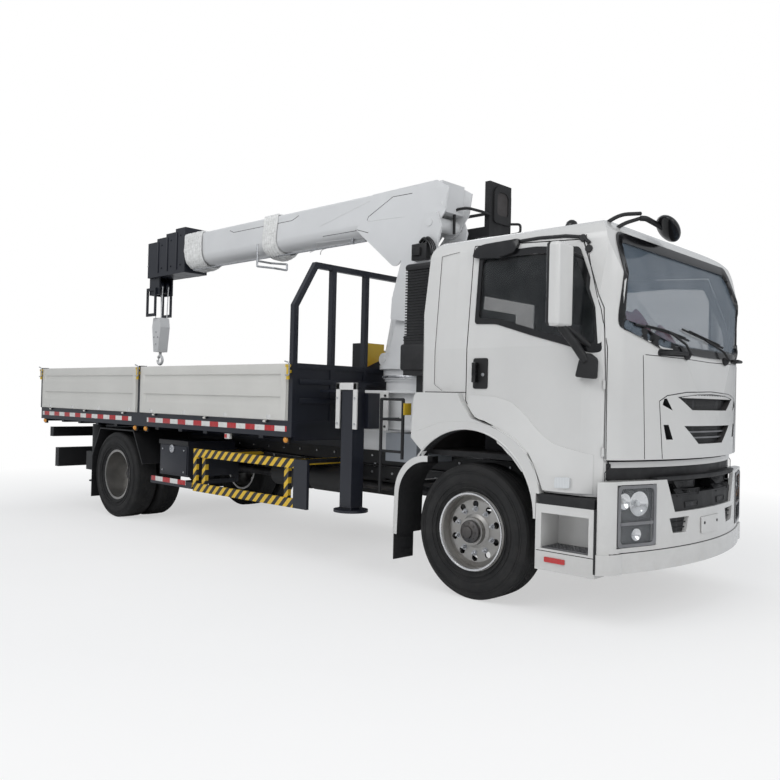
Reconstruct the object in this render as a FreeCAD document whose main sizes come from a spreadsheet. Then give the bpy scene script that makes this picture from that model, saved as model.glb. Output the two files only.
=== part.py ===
"""Two-axle flatbed truck with a telescopic-boom crane behind its cab.

Millimetres, +X forward, +Y to the truck's left, +Z up.  The origin is on the
ground, midway between the foremost and the rearmost point.
"""
import FreeCAD, Part
import math
import os
import re

import Sketcher
from FreeCAD import Placement, Rotation, Vector

doc = FreeCAD.newDocument("crane_truck")

# --------------------------------------------------------------------------
# Driving dimensions
# --------------------------------------------------------------------------
DIMENSIONS = {
    # general layout
    "wheelbase": 5340,
    "front_overhang": 1360,
    "rear_overhang": 2100,
    "body_half_width": 1245,
    "running_gap": 6,
    "seat_gap": 0.3,
    "pin_fit": 0.05,
    # wheels
    "tyre_radius": 512,
    "tyre_width": 290,
    "tyre_wall": 34,
    "rim_radius": 286,
    "rim_flange": 14,
    "rim_wall": 12,
    "rim_width": 230,
    "front_track": 2060,
    "rear_track": 1840,
    "dual_spacing": 330,
    "hub_radius": 105,
    "disc_face": 125,
    "disc_wall": 16,
    "hand_hole": 26,
    "hand_hole_circle": 205,
    "hand_hole_count": 10,
    # chassis
    "rail_top": 1000,
    "underrun_x": 7150,
    "underrun_bottom": 480,
    "underrun_top": 735,
    "lamp_bar_x": 7330,
    "lamp_bar_bottom": 880,
    "lamp_bar_top": 1010,
    "rear_bar_half": 1150,
    "rear_bar_wall": 100,
    "rail_height": 260,
    "rail_flange": 80,
    "rail_wall": 8,
    "rail_outer": 430,
    "axle_tube": 75,
    "rear_half_tube": 700,
    "rear_spindle": 950,
    "spindle_radius": 40,
    "differential_radius": 190,
    "front_beam_drop": 90,
    "kingpin_y": 845,
    "kingpin_radius": 22,
    "spring_leaf_width": 80,
    "spring_pack": 70,
    "spring_rise": 118,
    "subframe_height": 90,
    # cab
    "cab_rear": 520,
    "cab_front": 1345,
    "cab_half_width": 1175,
    "cab_floor": 1110,
    "cab_floor_wall": 40,
    "cab_bottom": 875,
    "roof_side_drop": 110,
    "roof_crown": 2865,
    "cab_wall": 45,
    "glass_inset": 14,
    "glass_wall": 6,
    "door_front": 1067,
    "door_rear": 57,
    "door_top_drop": 175,
    "door_gap": 8,
    "door_depth": 75,
    "recess_depth": 6,
    "door_hinge_y": 1130,
    "door_pin": 5,
    "door_knuckle": 9,
    "screen_base": 1885,
    "screen_top_drop": 170,
    "panel_bottom": 1125,
    "flare_face": 1235,
    "flare_top": 1560,
    "arch_radius": 600,
    "arch_centre": 685,
    "bumper_bottom": 370,
    "bumper_top": 985,
    "lip_top": 505,
    "lip_step": 10,
    "bumper_wall": 40,
    "lamp_bottom": 540,
    "lamp_top": 962,
    "lamp_outer": 1105,
    "lamp_inner": 728,
    "grille_bottom": 752,
    "grille_half": 620,
    "grille_foot_half": 520,
    "mesh_wall": 12,
    "step_rear": 622,
    "step_front": 1078,
    "step_top": 800,
    "step_bottom": 345,
    # load bed
    "bed_front": 2030,
    "deck_top": 1274,
    "deck_floor": 40,
    "side_rail_height": 150,
    "side_height": 536,
    "panel_wall": 40,
    "gate_hinge_out": 13,
    "gate_hinge_drop": 12,
    "gate_hinge_radius": 11.5,
    "gate_pin": 6,
    "tail_setback": 30,
    "post_width": 70,
    "mid_post_x": -1743,
    "head_tube": 55,
    "head_panel_top": 1816,
    "head_shoulder": 2358,
    "head_top": 2788,
    "head_top_half": 990,
    "head_inner_post": 295,
    "head_outer_post": 746,
    # crane
    "slew_x": 1645,
    "slew_flange": 340,
    "slew_ring": 300,
    "slew_neck": 270,
    "pedestal_half": 420,
    "base_top": 1575,
    "plate_wall": 20,
    "neck_top": 1700,
    "ring_top": 1795,
    "flange_top": 1835,
    "column_half": 150,
    "column_waist": 343,
    "column_reach": 425,
    "ear_inner": 186,
    "ear_wall": 24,
    "boom_pivot_x": 1297,
    "boom_pivot_drop": 402,
    "boom_pin": 40,
    "lug_x": 1980,
    "lug_z": 1905,
    "lug_inner": 62,
    "lug_wall": 24,
    "lug_radius": 68,
    "eye_x": 1758,
    "eye_drop": 681,
    "eye_radius": 58,
    "eye_half": 50,
    "barrel_radius": 56,
    "barrel_bore": 44,
    "rod_radius": 38,
    "lift_pin": 28,
    "boom_top": 3610,
    "boom_depth": 420,
    "boom_half": 170,
    "boom_wall": 10,
    "boom_tail": 1450,
    "boom_mouth": 5600,
    "section_slip": 6,
    "section_pitch": 245,
    "section_tail": 1560,
    "head_length": 235,
    "section_count": 4,
    "section_stroke": 2600,
    "cheek_wall": 14,
    "tip_drop": 720,
    "sheave_inset": 125,
    "sheave_radius": 90,
    "rope_radius": 7,
    "hook_top_drop": 1040,
    "hook_block_drop": 1520,
    "hook_drop": 1710,
    # side guards
    "guard_rear_x": 3660,
    "guard_front_x": 1950,
    "guard_face": 1225,
    "guard_wall": 30,
    "guard_top": 925,
    "guard_bottom": 475,
    "guard_rail": 85,
    # outriggers
    "beam_box_x": 1290,
    "beam_box_width": 260,
    "beam_box_bottom": 1222,
    "beam_box_half": 950,
    "beam_wall": 10,
    "beam_slip": 6,
    "leg_size": 140,
    "leg_wall": 8,
    "leg_top": 1600,
    "leg_bottom": 560,
    "foot_radius": 150,
    "foot_bottom": 520,
    "outrigger_stroke": 800,
    "leg_stroke": 480,
    "rear_jack_x": 6190,
    "rear_jack_y": 1010,
    "rear_jack_foot": 350,
    "rear_jack_bore": 51,
    "rear_case_radius": 82,
    "rear_box_half": 112,
    "rear_box_height": 235,
}

# Levels that follow the roof and the boom's top
LEVELS = {
    "roof_side": "roof_crown-roof_side_drop",
    "door_top": "roof_crown-door_top_drop",
    "screen_top": "roof_crown-screen_top_drop",
    "boom_bottom": "boom_top-boom_depth",
    "boom_pivot_z": "boom_top-boom_pivot_drop",
    "eye_z": "boom_top-eye_drop",
    "tip_bottom": "boom_top-tip_drop",
    "hook_top": "boom_top-hook_top_drop",
    "hook_block_bottom": "boom_top-hook_block_drop",
    "hook_bottom": "boom_top-hook_drop",
}

sheet = doc.addObject("Spreadsheet::Sheet", "Dims")
for row, (alias, number) in enumerate(DIMENSIONS.items(), start=1):
    sheet.set(f"A{row}", alias)
    sheet.set(f"B{row}", str(number))
    sheet.setAlias(f"B{row}", alias)
doc.recompute()


class Sizes:
    """Read a cell of the sheet by its alias, or a level that follows from cells."""

    def __getattr__(self, alias):
        return number(alias) if alias in LEVELS else float(sheet.get(alias))


size = Sizes()
WORD = re.compile(r"[a-z_][a-z_0-9]*")
AXIS_TURN = {
    "x": Rotation(Vector(0, 1, 0), 90),
    "y": Rotation(Vector(1, 0, 0), -90),
    "z": Rotation(),
}
nodes = {}


def formula(text):
    """Write each level in full, and the sheet's name before each alias."""
    text = WORD.sub(lambda found: f"({LEVELS[found.group()]})" if found.group() in LEVELS else found.group(), str(text))
    return WORD.sub(lambda found: "Dims." + found.group() if found.group() in DIMENSIONS else found.group(), text)


def bind(thing, **properties):
    """Bind properties to expressions; a double underscore stands for a dot."""
    for name, text in properties.items():
        thing.setExpression(name.replace("__", "."), formula(text))
    return thing


def place(thing, x, y, z):
    return bind(thing, Placement__Base__x=x, Placement__Base__y=y, Placement__Base__z=z)


def block(name, x, y, z):
    """A box between two expressions along each axis."""
    box = doc.addObject("Part::Box", name)
    bind(box, Length=f"({x[1]})-({x[0]})", Width=f"({y[1]})-({y[0]})", Height=f"({z[1]})-({z[0]})")
    return place(box, x[0], y[0], z[0])


def rod(name, axis, start, end, across, radius):
    """A cylinder along an axis from start to end, across giving its other two places."""
    cylinder = doc.addObject("Part::Cylinder", name)
    bind(cylinder, Radius=radius, Height=f"({end})-({start})")
    cylinder.Placement = Placement(Vector(), AXIS_TURN[axis])
    spot = {"x": (start, *across), "y": (across[0], start, across[1]), "z": (*across, start)}[axis]
    return place(cylinder, *spot)


def cone(name, start, end, across, radius_low, radius_high):
    """An upright cone from start to end."""
    thing = doc.addObject("Part::Cone", name)
    bind(thing, Radius1=radius_low, Radius2=radius_high, Height=f"({end})-({start})")
    return place(thing, across[0], across[1], start)


PLANES = {"xy": ("XY_Plane", 1), "xz": ("XZ_Plane", -1), "yz": ("YZ_Plane", 1)}


def outline(sketch, points):
    """Draw a closed outline whose corners are bound to pairs of expressions."""
    count = len(points)
    guess = [Vector(number(point[0]), number(point[1]), 0) for point in points]
    for index in range(count):
        sketch.addGeometry(Part.LineSegment(guess[index], guess[(index + 1) % count]), False)
    for index in range(count):
        sketch.addConstraint(Sketcher.Constraint("Coincident", index, 2, (index + 1) % count, 1))
    for index, point in enumerate(points):
        for kind, letter, text, value in (
            ("DistanceX", "across", point[0], guess[index].x),
            ("DistanceY", "up", point[1], guess[index].y),
        ):
            position = sketch.addConstraint(Sketcher.Constraint(kind, -1, 1, index, 1, value))
            if WORD.search(str(text)):
                sketch.renameConstraint(position, f"{letter}{index}")
                sketch.setExpression(f"Constraints.{letter}{index}", formula(text))


def plate(name, plane, points, near, far):
    """Pad an outline of expression points from near to far along the plane's normal."""
    body = doc.addObject("PartDesign::Body", name + "_body")
    sketch = body.newObject("Sketcher::SketchObject", name + "_sketch")
    role, sign = PLANES[plane]
    origin_plane = [feature for feature in body.Origin.OriginFeatures if feature.Role == role][0]
    sketch.AttachmentSupport = [(origin_plane, "")]
    sketch.MapMode = "FlatFace"
    bind(sketch, AttachmentOffset__Base__z=near if sign > 0 else f"-({far})")
    outline(sketch, points)
    pad = body.newObject("PartDesign::Pad", name + "_pad")
    pad.Profile = sketch
    bind(pad, Length=f"({far})-({near})")
    return body


calculator = doc.addObject("Spreadsheet::Sheet", "Calculator")


def number(text):
    """The present value of an expression, worked out by a scratch cell."""
    try:
        return float(text)
    except ValueError:
        calculator.set("A1", "=" + formula(text))
        calculator.recompute()
        return float(calculator.get("A1"))


def joined(name, *parts):
    fuse = doc.addObject("Part::MultiFuse", name)
    fuse.Shapes = list(parts)
    return fuse


def cut(name, base, *tools):
    thing = doc.addObject("Part::Cut", name)
    thing.Base = base
    thing.Tool = tools[0] if len(tools) == 1 else joined(name + "_tools", *tools)
    return thing


def common(name, *parts):
    thing = doc.addObject("Part::MultiCommon", name)
    thing.Shapes = list(parts)
    return thing


def grouped(name, *parts):
    thing = doc.addObject("Part::Compound", name)
    thing.Links = list(parts)
    return thing


def mirrored(name, source):
    """The left-hand twin of a right-hand piece."""
    thing = doc.addObject("Part::Mirroring", name)
    thing.Source = source
    thing.Normal = Vector(0, 1, 0)
    return thing


def both_sides(name, source):
    return grouped(name, source, mirrored(name + "_twin", source))


def node(label, thing):
    """Hand a finished piece in under its node name."""
    thing.Label = label
    nodes[label] = thing
    return thing


# --------------------------------------------------------------------------
# Shared places along the truck
# --------------------------------------------------------------------------
MIDDLE = "((wheelbase+rear_overhang-front_overhang)/2)"
FRONT_AXLE = MIDDLE
REAR_AXLE = f"({MIDDLE}-wheelbase)"
REAR_END = f"({REAR_AXLE}-rear_overhang)"
SLEW = f"({FRONT_AXLE}-slew_x)"
BED_FRONT = f"({FRONT_AXLE}-bed_front)"
CAB_REAR = f"({FRONT_AXLE}-cab_rear)"
CAB_FRONT = f"({FRONT_AXLE}+cab_front)"
WHEEL = "tyre_radius"
FRONT_WHEEL_Y = "(front_track/2)"
REAR_WHEEL_Y = "(rear_track/2)"
RAIL_BOTTOM = "(rail_top-rail_height)"

# --------------------------------------------------------------------------
# Chassis: rails, cross members, axles, springs, engine
# --------------------------------------------------------------------------
def channel(name):
    """The right-hand rail, a channel open towards the middle of the truck."""
    ends = (f"{REAR_END}+120", f"{FRONT_AXLE}+1130")
    outer = block(name + "_outer", ends, ("-rail_outer", "-rail_outer+rail_flange"), (RAIL_BOTTOM, "rail_top"))
    inner = block(
        name + "_inner",
        (f"{ends[0]}-1", f"{ends[1]}+1"),
        ("-rail_outer+rail_wall", "-rail_outer+rail_flange+1"),
        (f"{RAIL_BOTTOM}+rail_wall", "rail_top-rail_wall"),
    )
    return cut(name, outer, inner)


def chassis_frame():
    right = channel("rail_right")
    parts = [right, mirrored("rail_left", right)]
    places = (
        f"{REAR_END}+120", f"{REAR_AXLE}-800", f"{REAR_AXLE}", f"{REAR_AXLE}+1200",
        f"{SLEW}-600", f"{SLEW}+450", f"{FRONT_AXLE}+1040",
    )
    inner = "(rail_outer-rail_wall-seat_gap)"
    for index, spot in enumerate(places):
        parts.append(block(
            f"cross_member_{index}", (spot, f"{spot}+90"), (f"-{inner}", inner), (f"{RAIL_BOTTOM}+60", "rail_top-60"),
        ))
    underrun_from = f"({FRONT_AXLE}-underrun_x)"
    underrun_to = f"({underrun_from}+rear_bar_wall)"
    parts.append(block(
        "underrun", (underrun_from, underrun_to), ("-rear_bar_half", "rear_bar_half"), ("underrun_bottom", "underrun_top"),
    ))
    lamp_bar = block(
        "lamp_bar", (f"{FRONT_AXLE}-lamp_bar_x", f"{FRONT_AXLE}-lamp_bar_x+rear_bar_wall"),
        ("-rear_bar_half", "-rail_outer-seat_gap"), ("lamp_bar_bottom", "lamp_bar_top"),
    )
    parts.append(both_sides("lamp_bars", lamp_bar))
    hanger = block(
        "underrun_hanger", (f"{underrun_to}+seat_gap", f"{underrun_to}+60"), ("-rail_outer", "-rail_outer+60"),
        ("underrun_bottom+40", f"{RAIL_BOTTOM}-seat_gap"),
    )
    parts.append(both_sides("underrun_hangers", hanger))
    return node("chassis_frame", grouped("frame_parts", *parts, *rear_jack_cases()))


def axles():
    inner = "kingpin_y-60"
    beam = block(
        "front_beam", (f"{FRONT_AXLE}-45", f"{FRONT_AXLE}+45"), (f"-({inner})", inner),
        (f"{WHEEL}-front_beam_drop-70", f"{WHEEL}-front_beam_drop+20"),
    )
    ends = []
    for side, sign in (("right", "-1"), ("left", "1")):
        eye = rod(
            f"beam_boss_{side}", "z", f"{WHEEL}-70", f"{WHEEL}+70", (FRONT_AXLE, f"{sign}*kingpin_y"), "52",
        )
        neck = block(
            f"beam_neck_{side}", (f"{FRONT_AXLE}-42", f"{FRONT_AXLE}+42"),
            (f"{sign}*(kingpin_y-65)-35", f"{sign}*(kingpin_y-65)+35"), (f"{WHEEL}-70", f"{WHEEL}+70"),
        )
        riser = block(
            f"beam_riser_{side}", (f"{FRONT_AXLE}-42", f"{FRONT_AXLE}+42"),
            (f"{sign}*(kingpin_y-80)-32", f"{sign}*(kingpin_y-80)+32"),
            (f"{WHEEL}-front_beam_drop-70", f"{WHEEL}+70"),
        )
        hole = rod(
            f"kingpin_hole_{side}", "z", f"{WHEEL}-200", f"{WHEEL}+200", (FRONT_AXLE, f"{sign}*kingpin_y"),
            "kingpin_radius+pin_fit",
        )
        ends.append(cut(f"beam_eye_{side}", joined(f"beam_end_whole_{side}", eye, neck, riser), hole))
    front = joined("front_axle_beam", beam, *ends)
    tube = rod("rear_tube", "y", "-rear_half_tube", "rear_half_tube", (REAR_AXLE, WHEEL), "axle_tube")
    casing = doc.addObject("Part::Sphere", "differential")
    bind(casing, Radius="differential_radius")
    place(casing, REAR_AXLE, "0", WHEEL)
    spindles = rod("rear_spindles", "y", "-rear_spindle", "rear_spindle", (REAR_AXLE, WHEEL), "spindle_radius")
    rear = joined("rear_axle_housing", tube, casing, spindles)
    shaft = rod("propeller_shaft", "x", f"{REAR_AXLE}+differential_radius-5", f"{FRONT_AXLE}-950", ("0", "600"), "45")
    return node("axles", grouped("axle_set", front, joined("driven_axle", rear, shaft)))


def leaf_pack(name, middle, half_length, seat, side):
    """One bowed leaf spring as a plate that rises from its seat to its two eyes."""
    low = seat
    points = [
        (f"{middle}-{half_length}", f"{low}+spring_rise"), (f"{middle}-{half_length}*0.5", f"{low}+spring_rise*0.35"),
        (f"{middle}-90", low), (f"{middle}+90", low),
        (f"{middle}+{half_length}*0.5", f"{low}+spring_rise*0.35"), (f"{middle}+{half_length}", f"{low}+spring_rise"),
        (f"{middle}+{half_length}", f"{low}+spring_rise+30"), (f"{middle}+90", f"{low}+spring_pack"),
        (f"{middle}-90", f"{low}+spring_pack"), (f"{middle}-{half_length}", f"{low}+spring_rise+30"),
    ]
    low_y = f"{side}*(rail_outer-40)-spring_leaf_width/2"
    return plate(name, "xz", points, low_y, f"{low_y}+spring_leaf_width")


def leaf_springs():
    packs = []
    front_seat = f"({WHEEL}-front_beam_drop+20+seat_gap)"
    rear_seat = f"({WHEEL}+axle_tube+seat_gap)"
    for side_name, side in (("right", "-1"), ("left", "1")):
        front = leaf_pack(f"front_spring_{side_name}", FRONT_AXLE, "720", front_seat, side)
        rear = leaf_pack(f"rear_spring_{side_name}", REAR_AXLE, "760", rear_seat, side)
        low_y = f"{side}*(rail_outer-40)-spring_leaf_width/2"
        hangers = []
        for tag, middle, half, seat in (("front", FRONT_AXLE, "720", front_seat), ("rear", REAR_AXLE, "760", rear_seat)):
            for end, direction in (("a", "-1"), ("b", "1")):
                spot = f"{middle}+({direction})*({half}-20)"
                hangers.append(block(
                    f"{tag}_hanger_{side_name}_{end}", (f"{spot}-30", f"{spot}+30"),
                    (low_y, f"{low_y}+spring_leaf_width"), (f"{seat}+spring_rise", f"{RAIL_BOTTOM}-seat_gap"),
                ))
        packs.append(joined(f"front_pack_{side_name}", front, *hangers[:2]))
        packs.append(joined(f"rear_pack_{side_name}", rear, *hangers[2:]))
    return node("leaf_springs", grouped("spring_set", *packs))


def engine():
    body = block(
        "engine_body", (f"{FRONT_AXLE}-560", f"{FRONT_AXLE}+760"), ("-260", "260"),
        (f"{WHEEL}+130", "cab_floor-60"),
    )
    gearbox = block("gearbox", (f"{FRONT_AXLE}-950", f"{FRONT_AXLE}-560"), ("-180", "180"), (f"{WHEEL}+20", "rail_top-90"))
    return node("engine", joined("engine_and_gearbox", body, gearbox))


def knuckle(side_name, sign):
    """Steering knuckle: a fork on the king pin with the wheel spindle."""
    y = f"({sign}*kingpin_y)"
    pin = rod(f"kingpin_{side_name}", "z", f"{WHEEL}-115", f"{WHEEL}+115", (FRONT_AXLE, y), "kingpin_radius")
    arms = []
    for tag, low, high in (("lower", f"{WHEEL}-115", f"{WHEEL}-76"), ("upper", f"{WHEEL}+76", f"{WHEEL}+115")):
        arms.append(block(
            f"knuckle_{tag}_{side_name}", (f"{FRONT_AXLE}-40", f"{FRONT_AXLE}+40"),
            (f"min({y};{y}+{sign}*100)", f"max({y};{y}+{sign}*100)"), (low, high),
        ))
        arms.append(rod(f"knuckle_{tag}_end_{side_name}", "z", low, high, (FRONT_AXLE, y), "34"))
    web = block(
        f"knuckle_web_{side_name}", (f"{FRONT_AXLE}-40", f"{FRONT_AXLE}+40"),
        (f"min({y}+{sign}*65;{y}+{sign}*100)", f"max({y}+{sign}*65;{y}+{sign}*100)"),
        (f"{WHEEL}-115", f"{WHEEL}+115"),
    )
    spindle_inner = f"{y}+{sign}*66"
    spindle_outer = f"{sign}*({FRONT_WHEEL_Y}+60)"
    spindle = rod(
        f"front_spindle_{side_name}", "y", f"min({spindle_inner};{spindle_outer})",
        f"max({spindle_inner};{spindle_outer})", (FRONT_AXLE, WHEEL), "spindle_radius",
    )
    return node(f"knuckle_{side_name}", joined(f"knuckle_forging_{side_name}", pin, *arms, web, spindle))


# --------------------------------------------------------------------------
# Wheels
# --------------------------------------------------------------------------
def turned(name, points, spot):
    """Turn an outline of (radius, y) points about the y line through spot."""
    body = doc.addObject("PartDesign::Body", name + "_body")
    sketch = body.newObject("Sketcher::SketchObject", name + "_sketch")
    origin_plane = [feature for feature in body.Origin.OriginFeatures if feature.Role == "XY_Plane"][0]
    sketch.AttachmentSupport = [(origin_plane, "")]
    sketch.MapMode = "FlatFace"
    bind(sketch, AttachmentOffset__Base__x=spot[0], AttachmentOffset__Base__y=spot[1])
    bind(sketch, AttachmentOffset__Base__z=spot[2])
    outline(sketch, points)
    revolution = body.newObject("PartDesign::Revolution", name + "_turn")
    revolution.Profile = sketch
    revolution.ReferenceAxis = (sketch, ["V_Axis"])
    revolution.Angle = 360
    return body


def tyre_outline(middle):
    """Tread, shoulders, bulging walls and beads of one tyre about its middle."""
    half = "(tyre_width/2)"
    outer = [
        ("rim_radius+seat_gap", f"-{half}*0.72"), ("rim_radius+55", f"-{half}*0.92"),
        ("tyre_radius*0.78", f"-{half}"), ("tyre_radius-42", f"-{half}*0.97"),
        ("tyre_radius-10", f"-{half}*0.86"), ("tyre_radius", f"-{half}*0.72"),
    ]
    far = [(radius, f"0-({y})") for radius, y in reversed(outer)]
    return [(radius, f"{middle}+({y})") for radius, y in outer + far]


def tyre(name, spot, middles):
    return grouped(name, *(
        turned(f"{name}_{index}", tyre_outline(middle), spot) for index, middle in enumerate(middles)
    ))


def rim(name, spot, sign, middle, disc, hub_from, hub_to, bore):
    """A rim barrel with its disc, hub and hand holes; y runs outwards times sign."""
    def outward(text):
        return f"{sign}*({text})"

    half = "(rim_width/2)"
    barrel = turned(name + "_barrel", [
        ("rim_radius-rim_wall", outward(f"{middle}-{half}")), ("rim_radius+rim_flange", outward(f"{middle}-{half}")),
        ("rim_radius+rim_flange", outward(f"{middle}-{half}+10")), ("rim_radius", outward(f"{middle}-{half}+14")),
        ("rim_radius", outward(f"{middle}+{half}-14")), ("rim_radius+rim_flange", outward(f"{middle}+{half}-10")),
        ("rim_radius+rim_flange", outward(f"{middle}+{half}")), ("rim_radius-rim_wall", outward(f"{middle}+{half}")),
    ], spot)
    centre = turned(name + "_centre", [
        (bore, outward(hub_from)), ("hub_radius", outward(hub_from)),
        ("hub_radius+30", outward(f"{disc}-disc_wall")), ("rim_radius-rim_wall-50", outward(f"{disc}-disc_wall")),
        ("rim_radius-rim_wall+2", outward(f"{disc}-disc_wall-45")), ("rim_radius-rim_wall+2", outward(f"{disc}-20")),
        ("rim_radius-rim_wall-40", outward(disc)), ("hub_radius+25", outward(disc)),
        ("hub_radius", outward(f"{disc}+12")), ("hub_radius", outward(hub_to)), (bore, outward(hub_to)),
    ], spot)
    return barrel, centre


def hand_holes(name, spot, sign, disc):
    holes = []
    count = int(size.hand_hole_count)
    for index in range(count):
        angle = f"({index}+0.5)*360/{count}"
        hole = rod(
            f"{name}_{index}", "y", f"{sign}*({disc}-25)+({spot[1]})-45", f"{sign}*({disc}-25)+({spot[1]})+45",
            (f"{spot[0]}+hand_hole_circle*cos({angle})", f"{spot[2]}+hand_hole_circle*sin({angle})"), "hand_hole",
        )
        holes.append(hole)
    return holes


def front_wheel(side_name, sign):
    spot = (FRONT_AXLE, f"{sign}*{FRONT_WHEEL_Y}", WHEEL)
    node(f"front_tyre_{side_name}", tyre(f"front_tyre_set_{side_name}", spot, ("0",)))
    disc = "70"
    barrel, centre = rim(f"front_rim_{side_name}_raw", spot, sign, "0", disc, "-70", "disc_face", "spindle_radius+pin_fit")
    cap = turned(f"front_hub_cap_{side_name}", [
        ("0", f"{sign}*(disc_face-12)"), ("hub_radius-30", f"{sign}*(disc_face-12)"),
        ("hub_radius-34", f"{sign}*(disc_face+8)"), ("0", f"{sign}*(disc_face+14)"),
    ], spot)
    holes = hand_holes(f"front_hand_hole_{side_name}", spot, sign, disc)
    solid = joined(f"front_rim_solid_{side_name}", barrel, centre, cap)
    node(f"front_rim_{side_name}", cut(f"front_rim_cut_{side_name}", solid, *holes))


def rear_wheels(side_name, sign):
    spot = (REAR_AXLE, f"{sign}*{REAR_WHEEL_Y}", WHEEL)
    half = "dual_spacing/2"
    node(f"rear_tyres_{side_name}", tyre(f"rear_tyre_set_{side_name}", spot, (f"-{half}", half)))
    outer = rim(f"rear_outer_rim_{side_name}", spot, sign, half, "20", "-40", "90", "spindle_radius+pin_fit")
    inner_barrel = turned(f"rear_inner_rim_{side_name}", [
        ("rim_radius-rim_wall", f"{sign}*(-{half}-rim_width/2)"), ("rim_radius+rim_flange", f"{sign}*(-{half}-rim_width/2)"),
        ("rim_radius+rim_flange", f"{sign}*(-{half}-rim_width/2+10)"), ("rim_radius", f"{sign}*(-{half}-rim_width/2+14)"),
        ("rim_radius", f"{sign}*({half}-rim_width/2+1)"), ("rim_radius-rim_wall", f"{sign}*({half}-rim_width/2+1)"),
    ], spot)
    solid = joined(f"rear_rim_solid_{side_name}", *outer, inner_barrel)
    holes = hand_holes(f"rear_hand_hole_{side_name}", spot, sign, "20")
    node(f"rear_rims_{side_name}", cut(f"rear_rim_cut_{side_name}", solid, *holes))


# --------------------------------------------------------------------------
# Cab
# --------------------------------------------------------------------------
def wire_of(corners, place_corner):
    """A closed wire through (a, b) corners; a third entry names the next point as an arc's end."""
    edges = []
    index = 0
    count = len(corners)
    while index < count:
        start = place_corner(*corners[index][:2])
        middle = corners[(index + 1) % count]
        if len(middle) == 3:
            end = place_corner(*corners[(index + 2) % count][:2])
            edges.append(Part.Arc(start, place_corner(*middle[:2]), end).toShape())
            index += 2
        else:
            edges.append(Part.LineSegment(start, place_corner(*middle)).toShape())
            index += 1
    return Part.Wire(edges)


def prism(wire, inset, travel):
    """Pull a flat wire, drawn in by inset, along a vector."""
    if inset:
        wire = wire.makeOffset2D(-inset, join=2)
    return Part.Face(wire).extrude(travel)


def along_y(a, b):
    return Vector(a, 0, b)


def along_x(a, b):
    return Vector(0, a, b)


def along_z(a, b):
    return Vector(a, b, 0)


ARC = "arc"


def cab_side_wire():
    front_axle = number(FRONT_AXLE)
    rear = front_axle - size.cab_rear
    front = front_axle + size.cab_front
    return wire_of([
        (rear, size.cab_bottom), (front, size.cab_bottom), (front + 8, 1400, ARC), (front - 30, size.screen_base),
        (front - 300, size.screen_top),
        (front - 400, size.roof_crown - 75, ARC), (front - 640, size.roof_crown - 20),
        (front - 1100, size.roof_crown, ARC), (rear + 230, size.roof_crown - 45),
        (rear + 90, size.roof_crown - 90, ARC), (rear + 25, size.roof_crown - 240),
        (rear, size.roof_crown - 700),
    ], along_y)


def cab_plan_wire():
    front_axle = number(FRONT_AXLE)
    rear = front_axle - size.cab_rear
    front = front_axle + size.cab_front
    half = size.cab_half_width
    return wire_of([
        (rear, -half + 25), (rear + 30, -half), (front - 420, -half),
        (front - 270, -half + 60, ARC), (front - 180, -half + 185),
        (front + 9, 0, ARC), (front - 180, half - 185),
        (front - 270, half - 60, ARC), (front - 420, half),
        (rear + 30, half), (rear, half - 25),
    ], along_z)


def cab_end_wire():
    half = size.cab_half_width
    return wire_of([
        (-half, size.cab_bottom), (half, size.cab_bottom), (half, 1900), (half - 62, size.roof_side - 125),
        (half - 98, size.roof_side - 35, ARC), (half - 190, size.roof_side + 22),
        (0, size.roof_crown + 1, ARC), (-half + 190, size.roof_side + 22),
        (-half + 98, size.roof_side - 35, ARC), (-half + 62, size.roof_side - 125), (-half, 1900),
    ], along_x)


def cab_form(inset):
    """The cab's outer body, drawn in all round by inset."""
    reach = 4 * size.cab_half_width
    side = prism(cab_side_wire(), inset, Vector(0, reach, 0))
    side.translate(Vector(0, -reach / 2, 0))
    plan = prism(cab_plan_wire(), inset, Vector(0, 0, reach))
    end = prism(cab_end_wire(), inset, Vector(reach, 0, 0))
    end.translate(Vector(number(FRONT_AXLE) - reach / 2, 0, 0))
    return side.common(plan).common(end)


def door_wire(gap):
    front_axle = number(FRONT_AXLE)
    rear = front_axle - size.door_rear - gap
    front = front_axle + size.door_front + gap
    bottom = size.cab_bottom - gap
    top = size.door_top + gap
    return wire_of([
        (rear, 1500), (rear, top), (front - 190, top - 60), (front - 15, 2150), (front, 1700), (front, bottom),
        (front_axle + 650 - gap, bottom), (front_axle + 560 - gap, 1105 - gap, ARC),
        (front_axle + 400, 1262 - gap), (front_axle + 200, 1330 - gap), (rear + 90, 1380 - gap),
    ], along_y)


def window_wire():
    front_axle = number(FRONT_AXLE)
    rear = front_axle - size.door_rear + 75
    front = front_axle + size.door_front
    return wire_of([
        (rear, 2115), (rear, 2590), (front - 225, 2560), (front - 60, 2150), (front - 40, 1880),
        (front - 260, 1945), (front - 520, 2005),
    ], along_y)


def side_prism(wire):
    """A right-hand side cutter that reaches through the wall."""
    depth = 320
    thing = Part.Face(wire).extrude(Vector(0, -depth, 0))
    thing.translate(Vector(0, -size.cab_half_width + 170, 0))
    return thing


def screen_prism():
    half = size.cab_half_width
    wire = wire_of([
        (-half + 245, size.screen_top - 30), (half - 245, size.screen_top - 30),
        (half - 190, size.screen_top - 90), (half - 135, size.screen_base + 190),
        (half - 150, size.screen_base + 120), (half - 500, size.screen_base + 20),
        (0, size.screen_base - 5, ARC), (-half + 500, size.screen_base + 20),
        (-half + 150, size.screen_base + 120), (-half + 135, size.screen_base + 190),
        (-half + 190, size.screen_top - 90),
    ], along_x)
    thing = Part.Face(wire).extrude(Vector(900, 0, 0))
    thing.translate(Vector(number(FRONT_AXLE) + size.cab_front - 480, 0, 0))
    return thing


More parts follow.
